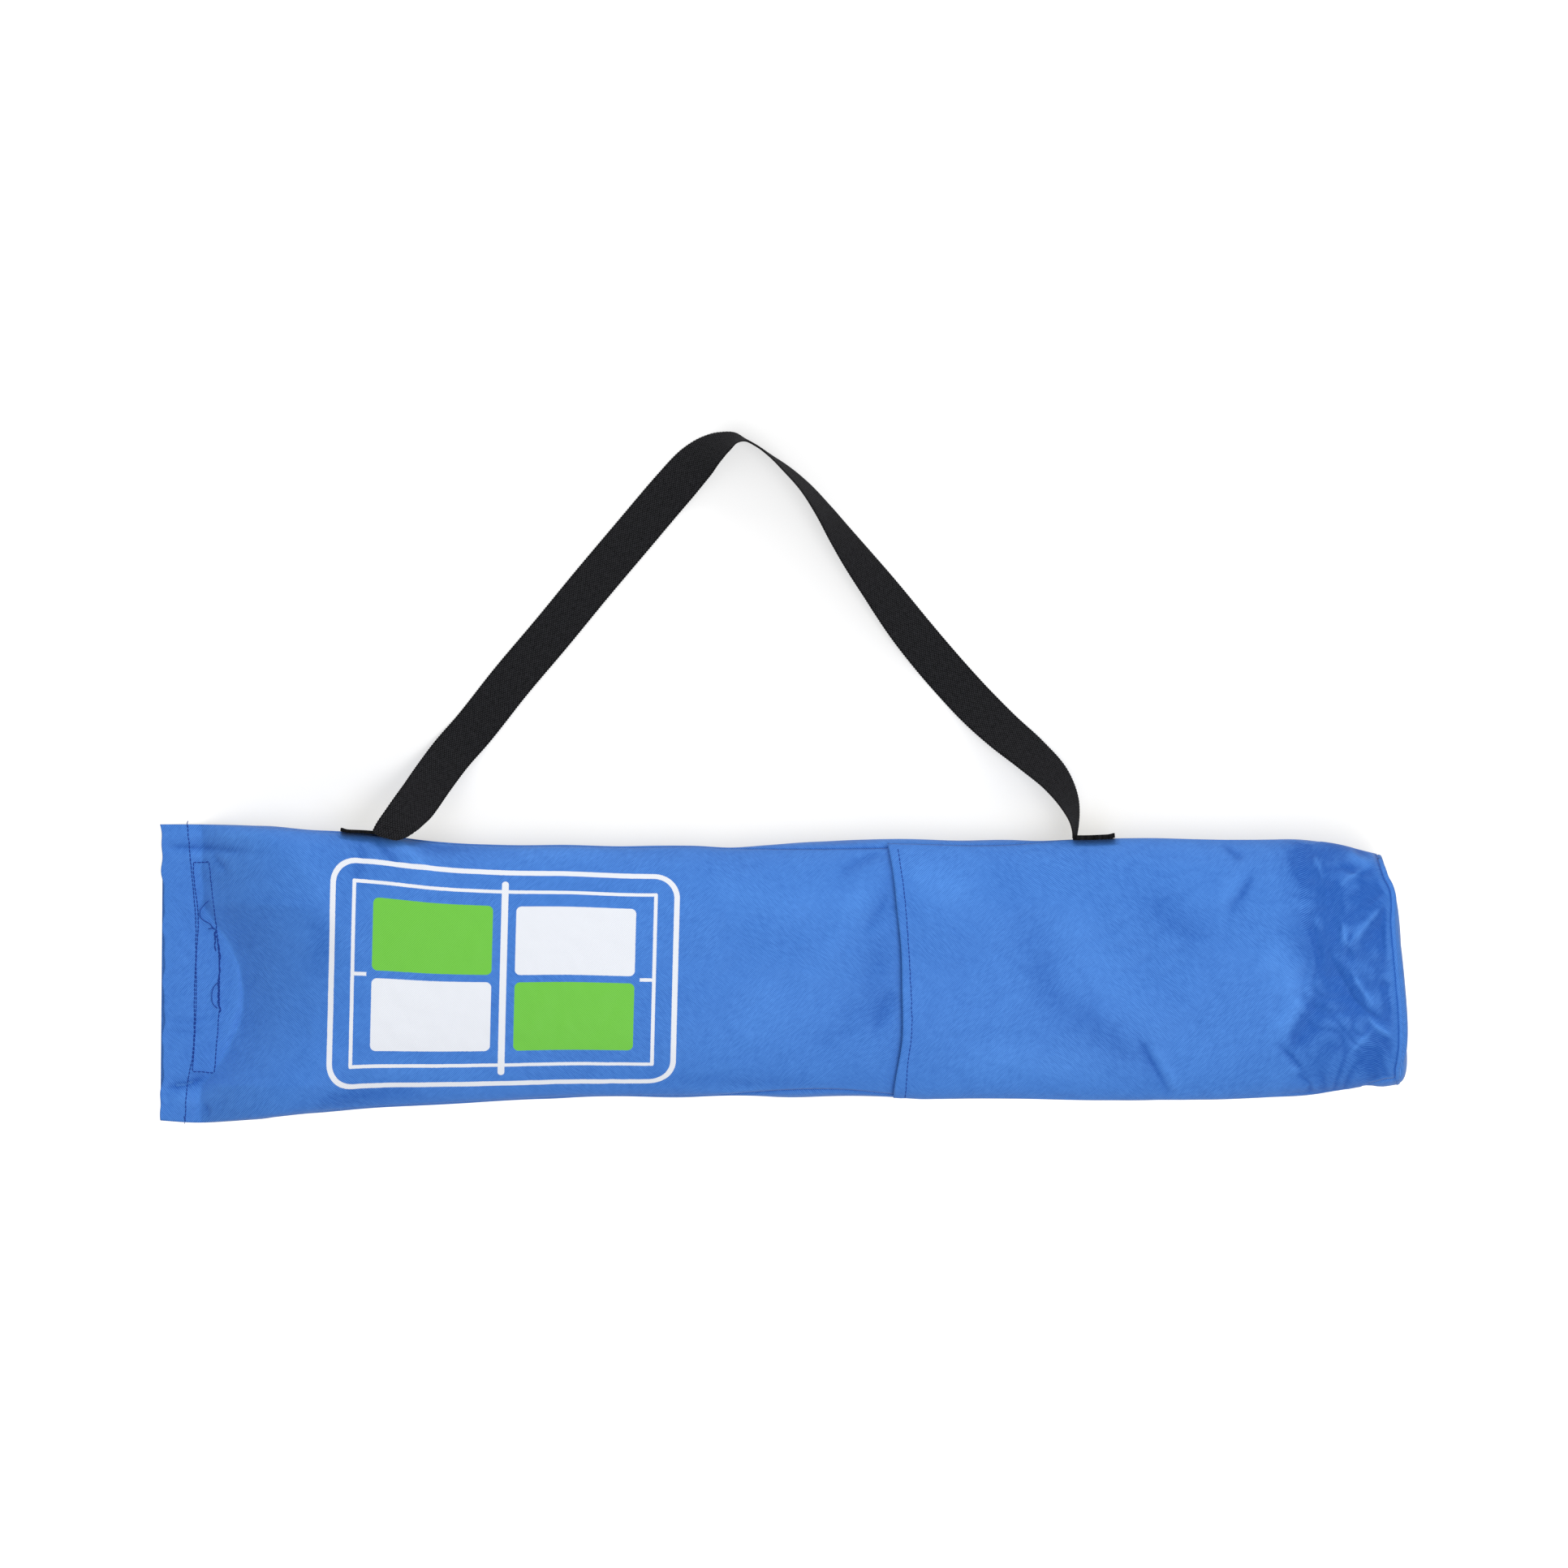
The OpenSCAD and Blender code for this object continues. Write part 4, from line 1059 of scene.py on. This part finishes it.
def strap_frame(count):
    """Middle line of the strap, its unit vectors across and out of its face, and the length so far."""
    knots = lengths(ROUTE[:, :2])
    x, y, roll, low = (through(np.linspace(0, knots[-1], count), knots, column) for column in ROUTE.T)
    x, y, low = x * MM, y * MM, np.clip(low, 0, ROUTE[:, 3].max()) * MM
    roll = np.radians(np.clip(roll, 0, 90))
    ahead_x, ahead_y = unit(grid(np.gradient(x), np.gradient(y))).T
    sin, cos = np.sin(roll), np.cos(roll)
    across = grid(-ahead_y * cos, ahead_x * cos, -sin)
    face = grid(-ahead_y * sin, ahead_x * sin, cos)
    centre = grid(x, y, low + (STRAP_W * sin + STRAP_T * cos) / 2)
    length = lengths(centre)
    return centre, mix(FOLD_ACROSS, across, ease(length / FOLD_RUN)[:, None]), face, length


def strap():
    """Webbing from one sewn end to the other: flat along one leg, on edge at the top and at the far end.

    Its section is a flattened ring, w = half |cos a|^0.35 and h = t/2 |sin a|^0.9, with finely notched edges.
    """
    count, around, notch = 1600, 28, 1.9 * MM
    centre, across, face, length = strap_frame(count)
    a = circle(around)
    half = STRAP_W / 2 * (1 + 0.015 * np.sin(2 * np.pi * length / notch))[:, None]
    w = half * power(np.cos(a), 0.35)
    h = STRAP_T / 2 * power(np.sin(a), 0.9) * np.ones_like(half)
    corner = np.sqrt(1 - (1 - np.clip(length / CORNER_RUN, 0.02, 1)) ** 2)[:, None]
    w = np.where(w < 0, w * corner, w)
    p = centre[:, None] + across[:, None] * w[..., None] + face[:, None] * h[..., None]
    p[..., 1] -= FOLD_DIP * (1 - (w / half) ** 2) * (1 - ramp(length, 0, 12 * MM))[:, None]
    faces = quads(count, around, wrap=True).tolist() + end_caps(count, around)
    obj = make("webbing_strap", p, faces, WEBBING, grid(length[:, None], w), "webbing")
    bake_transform(obj)
    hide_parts("shoulder_strap")


def sewn_tail(name, node, start, end, cut, thick):
    """Tail of the webbing, sewn flat to the bag's side, with one end cut on the slant from start to cut."""
    u = np.linspace(0, 1, 70)[:, None]
    v = np.linspace(0, 1, 26)[None, :]
    x = mix(mix(start, cut, 1 - v), end, u)
    wave = 0.2 * MM * np.sin(x / (6 * MM))
    y = sides(x)[0] + thick - 0.4 * MM + wave + 0.9 * MM * bell(x, end, 2.5 * MM)
    p = grid(x, y, mix(SEWN_LOW, SEWN_TOP, v))
    uv = p[..., [0, 2]] - (0, (SEWN_LOW + SEWN_TOP) / 2)
    obj = cloth(name, p, WEBBING, uv, turn=1 if end > start else -1, thick=thick, slot="webbing")
    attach(obj, "bag")
    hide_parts(node)


# ---- closure ----

def strip(name, node, material, body):
    """Hook or loop tape with rounded long edges and rows of tufts: up on the bag, down on the lip."""
    lo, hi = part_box(node)
    side = 1 if body == "bag" else -1
    x = np.linspace(lo.x, hi.x, 41)[:, None]
    y = np.linspace(hi.y, lo.y, 260)[None, :]
    edge = np.clip(np.minimum(x - lo.x, hi.x - x) / (1.2 * MM), 0, 1)
    tuft = 0.12 * MM * np.sin(x / (0.35 * MM)) * np.sin(y / (0.37 * MM))
    z = (hi.z if side > 0 else lo.z) - side * (0.35 * MM * (1 - edge) - tuft * edge)
    thick = hi.z - lo.z - 0.5 * MM
    obj = cloth(name, grid(x, y, z), material, grid(x, y), turn=side, thick=thick, slot="hook_and_loop")
    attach(obj, body)
    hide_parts(node)


# ---- stitching ----

# Rows of stitches through the mouth's hem and round the closure, as points in mm
HEM_ROW = [(-423.5, 104.2), (-422, 84), (-419.5, 59), (-417.8, 37), (-418.5, -14), (-420.5, -64),
           (-423.5, -80), (-425, -101), (-425.5, -107.5)]
CLOSURE_ROWS = [
    [(-419.5, 77), (-408, 77)],
    [(-408, 77), (-404, 40), (-401.5, 15), (-401, -26.5), (-403, -55), (-404.5, -73)],
    [(-404.5, -73), (-420, -72)],
    [(-419.5, 77), (-418.5, 60), (-416.2, 44), (-417.2, 10), (-417.6, -30), (-420, -72)],
]
MENDED_ROWS = [
    [(-403.6, 28), (-401.6, 16), (-400.6, 2), (-401.8, -12), (-400.4, -30)],
    [(-404.6, 27), (-402.8, 20), (-403.2, 14)],
]
# Loose threads: points in mm, and heights above the cloth in mm
LOOSE = [
    ([(-408.2, 49.6), (-411.4, 46.7), (-414.3, 42.7), (-414.3, 38.1), (-411.4, 35.2), (-407.4, 32.9),
      (-405.1, 29.4)], (2.2, 1.6, 1.2, 0.6, 0)),
    ([(-402.2, -8.7), (-405.1, -12.7), (-406.2, -18.5), (-405.1, -24.2), (-402.2, -27.1)],
     (0, 1.2, 1.6, 1.0, 0)),
    ([(-408.5, 29.5), (-405, 29.8), (-403.2, 28.6), (-402.9, 26.4)], (0.2, 0.5, 0.3, 0)),
    ([(-426, -104), (-425.2, -107), (-426, -109.3)], (0.2, 0.3, 0)),
    ([(-423.5, 102), (-424, 104.5), (-423.4, 106.4)], (0.2, 0.3, 0)),
]
POCKET_ROW = [(82.3, 86.7), (86.3, 56), (89.8, 13.3), (91.4, -18.7), (92, -40), (89, -67), (87.1, -90.5)]
THREAD_R = 0.34 * MM
FINE_THREAD_R = 0.28 * MM


def surface_of(obj):
    """Search tree over the faces of a mesh."""
    faces = [list(f.vertices) for f in obj.data.polygons]
    return BVHTree.FromPolygons([v.co.copy() for v in obj.data.vertices], faces)


def dropped(tree, x, y, lift=0.0):
    """Points on the surface below (x, y), raised by lift along the surface's normal."""
    out = []
    for a, b in zip(x, y):
        hit, normal, _, _ = tree.ray_cast(Vector((a, b, 0.3)), Vector((0, 0, -1)))
        out.append(hit + normal * lift if hit else Vector((a, b, 0)))
    return np.array(out)


def along_line(points, step):
    """Even places along a smooth curve through points in mm: arrays of x and y in metres."""
    p = MM * np.array(points, float)
    knots = lengths(p)
    u = np.linspace(0, knots[-1], max(2, round(knots[-1] / step)) + 1)
    curve = np.interp if len(p) == 2 else through
    return curve(u, knots, p[:, 0]), curve(u, knots, p[:, 1])


def stitches(tree, points, seed, radius=THREAD_R, wander=0.12 * MM, gap=0.14):
    """Row of stitches: each is a short thread that dips into the cloth at both ends."""
    rng = np.random.default_rng(seed)
    x, y = along_line(points, 3 * MM)
    x = x + rng.normal(0, wander, len(x))
    y = y + rng.normal(0, wander, len(y))
    shares = np.array([gap / 2, 0.25, 0.5, 0.75, 1 - gap / 2])
    lifts = np.array([-0.25, 0.14, 0.2, 0.14, -0.25]) * MM
    radii = radius * np.array([0.7, 1, 1.05, 1, 0.7])
    parts = []
    for x0, y0, x1, y1 in zip(x[:-1], y[:-1], x[1:], y[1:]):
        path = dropped(tree, mix(x0, x1, shares), mix(y0, y1, shares))
        path[:, 2] += lifts
        parts.append(tube(path, radii))
    return joined(parts)


def loose_thread(tree, points, lift):
    """Loose thread that curls over the cloth, with heights in mm that are spread along it."""
    x, y = along_line(points, 0.6 * MM)
    path = dropped(tree, x, y, 0.25 * MM)
    path[:, 2] += np.interp(np.linspace(0, 1, len(x)), np.linspace(0, 1, len(lift)), np.array(lift) * MM)
    return tube(path, FINE_THREAD_R)


def sewing(front_tree, pocket_tree):
    """Stitches and loose threads at the mouth, and the row along the pocket's hem."""
    hem = make("hem_stitches", *stitches(front_tree, HEM_ROW, seed=2), THREAD, slot="bag_fabric")
    follow_lip(hem)
    rows = [stitches(front_tree, row, seed=3 + k) for k, row in enumerate(CLOSURE_ROWS)]
    rows += [stitches(front_tree, row, seed=13 + k, radius=0.5 * MM, wander=0.5 * MM)
             for k, row in enumerate(MENDED_ROWS)]
    rows += [loose_thread(front_tree, points, lift) for points, lift in LOOSE]
    closure = make("closure_stitches", *joined(rows), THREAD, slot="bag_fabric")
    follow_lip(closure)
    row = stitches(pocket_tree, POCKET_ROW, seed=8, radius=FINE_THREAD_R, gap=0.1)
    pocket_row = make("pocket_stitches", *row, THREAD, slot="bag_fabric")
    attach(pocket_row, "bag")


# ---- the set inside ----

def folded_sheet(name, node, material, slot, runs, thick, wave, sag):
    """Sheet folded to and fro across the bag: runs along Y joined by half turns, with uneven edges."""
    lo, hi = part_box(node)
    length = hi.x - lo.x
    turn_r = (hi.z - lo.z - thick) / (runs - 1) / 2
    reach = (hi.y - lo.y - thick) / 2 - turn_r
    a = np.linspace(-np.pi / 2, np.pi / 2, 8)[1:-1]
    line = []
    for k in range(runs):
        side = 1 if k % 2 == 0 else -1
        level = lo.z + thick / 2 + 2 * k * turn_r
        line.append(grid(side * reach * np.linspace(-1, 1, 26), level))
        line.append(grid(side * (reach + turn_r * np.cos(a)), level + turn_r * (1 + np.sin(a))))
    line = np.concatenate(line[:-1])
    across, up = line.T
    u = np.linspace(0, 1, 90)[:, None]
    y = across * (1 - 0.03 * np.abs(ripple(u * length, up * 40, 60 * MM, 41)))
    z = up + wave * ripple(u * length, y, 30 * MM, 43) * 0.5
    x = lo.x + 1.5 * MM + u * (length - 3 * MM) + sag * np.sin(up * 900) * (2 * u - 1)
    p = grid(x, y, z)
    run = lengths(line)
    obj = cloth(name, p + normals(p) * thick / 2, material, grid(x, run), thick=thick, slot=slot)
    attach(obj, "bag")
    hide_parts(node)


def tie_band():
    """Tie round the folded net, a rounded loop: y = half |cos a|^0.28 and z = middle + half |sin a|^0.28."""
    lo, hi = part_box("net_tie")
    a = np.linspace(0, 2 * np.pi, 120)[None, :]
    x = np.linspace(lo.x, hi.x, 12)[:, None]
    y = ((hi.y - lo.y) / 2 - 0.2 * MM) * power(np.cos(a), 0.28)
    z = (lo.z + hi.z) / 2 + ((hi.z - lo.z) / 2 - 0.2 * MM) * power(np.sin(a), 0.28)
    uv = grid(x, 30 * MM * a)
    obj = cloth("tie_tape", grid(x, y, z), LOOPS, uv, turn=-1, thick=1 * MM, slot="hook_and_loop")
    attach(obj, "bag")
    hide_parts("net_tie")


def dress_nodes():
    """Finishes of the rigid pieces that are shown as they are in the model."""
    finishes = {"rail": STEEL, "foot_bar": STEEL, "post_left": POST_STEEL, "post_right": POST_STEEL,
                "post_caps": PLASTIC, "foot_caps": PLASTIC, "corner_hub": PLASTIC}
    for name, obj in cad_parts.items():
        finish = next((finishes[key] for key in finishes if name.startswith(key)), None)
        if finish:
            obj.data.materials.clear()
            obj.data.materials.append(finish)


# ---- stage ----

FLOOR_SIZE = 12
FLOOR_GREY = 0.58
# Light that the floor gives off to the camera: in the strip behind the bag, and how much more elsewhere, a
# painted light that washes out the floor's shadows there
FLOOR_GLOW = 0.49
FLOOR_SHADOW_WASH = 0.3
# Painted warm tint of that glow beside the bag, against the blue light that the cloth throws on the floor
FLOOR_WARM_AGAINST_BOUNCE = (1.075, 1.045, 0.955, 1)
WORLD_LIGHT = 0.6
WHITE = (1, 1, 1, 1)
# Lamps: place, aim, width and height, power
LAMPS = {
    "key": ((0.8, -0.5, 2.4), (0, 0.05, 0), (1.6, 1.1), 24),
    "fill": ((-0.4, 2.8, 1.0), (0, 0.05, 0.03), (2.6, 0.8), 26),
}
VIEW_CENTRE = (1.2 * MM, 132.7 * MM)
VIEW_PLANE = 22 * MM
VIEW_WIDTH = 1115 * MM
VIEW_LENS = 400
SENSOR = 36


def floor():
    """White floor that keeps its shadows behind the bag: to the camera it glows, less there and more
    elsewhere, a painted light that washes out shadows, and warmly beside the bag, a painted tint against the
    blue light that the cloth throws on the floor.
    """
    material, tree, bsdf = shader("white_floor", Roughness=1.0, Specular_IOR_Level=0.0,
                                  Base_Color=(FLOOR_GREY, FLOOR_GREY, FLOOR_GREY, 1))
    place = add(tree, "ShaderNodeSeparateXYZ", {0: on_object(tree)}).outputs
    def within(axis, start, end):
        return between(tree, place[axis], start * MM, end * MM, interpolation_type="SMOOTHSTEP")
    along = calc(tree, "MULTIPLY", within(0, -470, -400), within(0, 470, 400))
    behind = calc(tree, "MULTIPLY", within(1, 20, 80), along)
    level = calc(tree, "MULTIPLY_ADD", behind, -FLOOR_SHADOW_WASH, FLOOR_GLOW + FLOOR_SHADOW_WASH)
    warm = blend_colour(tree, within(1, 140, 95), WHITE, FLOOR_WARM_AGAINST_BOUNCE)
    seen = add(tree, "ShaderNodeLightPath").outputs["Is Camera Ray"]
    strength = calc(tree, "MULTIPLY", level, seen)
    emission = add(tree, "ShaderNodeEmission", {"Color": warm, "Strength": strength})
    both = add(tree, "ShaderNodeAddShader", {0: bsdf.outputs[0], 1: emission.outputs[0]})
    tree.links.new(both.outputs[0], tree.nodes["Material Output"].inputs[0])
    corners = [(x * FLOOR_SIZE / 2, y * FLOOR_SIZE / 2, 0) for x, y in ((-1, -1), (1, -1), (1, 1), (-1, 1))]
    make("floor", corners, [(0, 1, 2, 3)], material)


def room():
    """White surroundings, weaker as a light than as they look, and the two lamps."""
    world = bpy.data.worlds.new("room")
    bpy.context.scene.world = world
    world.use_nodes = True
    tree = world.node_tree
    path = add(tree, "ShaderNodeLightPath").outputs
    seen = calc(tree, "MAXIMUM", path["Is Camera Ray"], path["Is Glossy Ray"])
    background = tree.nodes["Background"]
    background.inputs["Color"].default_value = WHITE
    tree.links.new(blend_value(tree, seen, WORLD_LIGHT, 1.0), background.inputs["Strength"])
    for name, (place, aim, size, power_w) in LAMPS.items():
        light = bpy.data.lights.new(name, "AREA")
        light.shape = "RECTANGLE"
        light.size, light.size_y = size
        light.energy = power_w
        lamp = bpy.data.objects.new(name, light)
        lamp.location = place
        lamp.rotation_euler = (Vector(aim) - Vector(place)).to_track_quat("-Z", "Y").to_euler()
        bpy.context.scene.collection.objects.link(lamp)


def view():
    """Camera that looks straight down and spans VIEW_WIDTH at the height VIEW_PLANE."""
    camera = bpy.data.objects.new("camera", bpy.data.cameras.new("camera"))
    camera.data.lens = VIEW_LENS
    camera.data.sensor_width = SENSOR
    camera.location = (*VIEW_CENTRE, VIEW_PLANE + VIEW_WIDTH * VIEW_LENS / SENSOR)
    bpy.context.scene.collection.objects.link(camera)
    bpy.context.scene.camera = camera
    bpy.context.scene.view_settings.view_transform = "Standard"


floor()
room()
view()
dress_nodes()
front_cloth = bag_front()
bag_back()
mouth_hem("mouth_hem_inside", "mouth_hem_upper", "lip")
mouth_hem("mouth_hem_under", "mouth_hem_lower", "bag")
pocket_cloth = pocket()
base()
piping()
strip("hook_tape", "hook_strip", HOOKS, "lip")
strip("loop_tape", "loop_strip", LOOPS, "bag")
strap()
sewn_tail("strap_tail_mouth", "strap_end_mouth",
          start=-274 * MM, end=-313.5 * MM, cut=-291 * MM, thick=2.3 * MM)
sewn_tail("strap_tail_base", "strap_end_base",
          start=206.2 * MM, end=236 * MM, cut=207.5 * MM, thick=3.3 * MM)
folded_sheet("net_cloth", "folded_net", NET, "net_twine",
             runs=5, thick=3.2 * MM, wave=0.3 * MM, sag=1.2 * MM)
folded_sheet("headband_cloth", "net_headband", BAND, "headband_tape",
             runs=2, thick=0.8 * MM, wave=0.1 * MM, sag=0.6 * MM)
tie_band()
sewing(surface_of(front_cloth), surface_of(pocket_cloth))
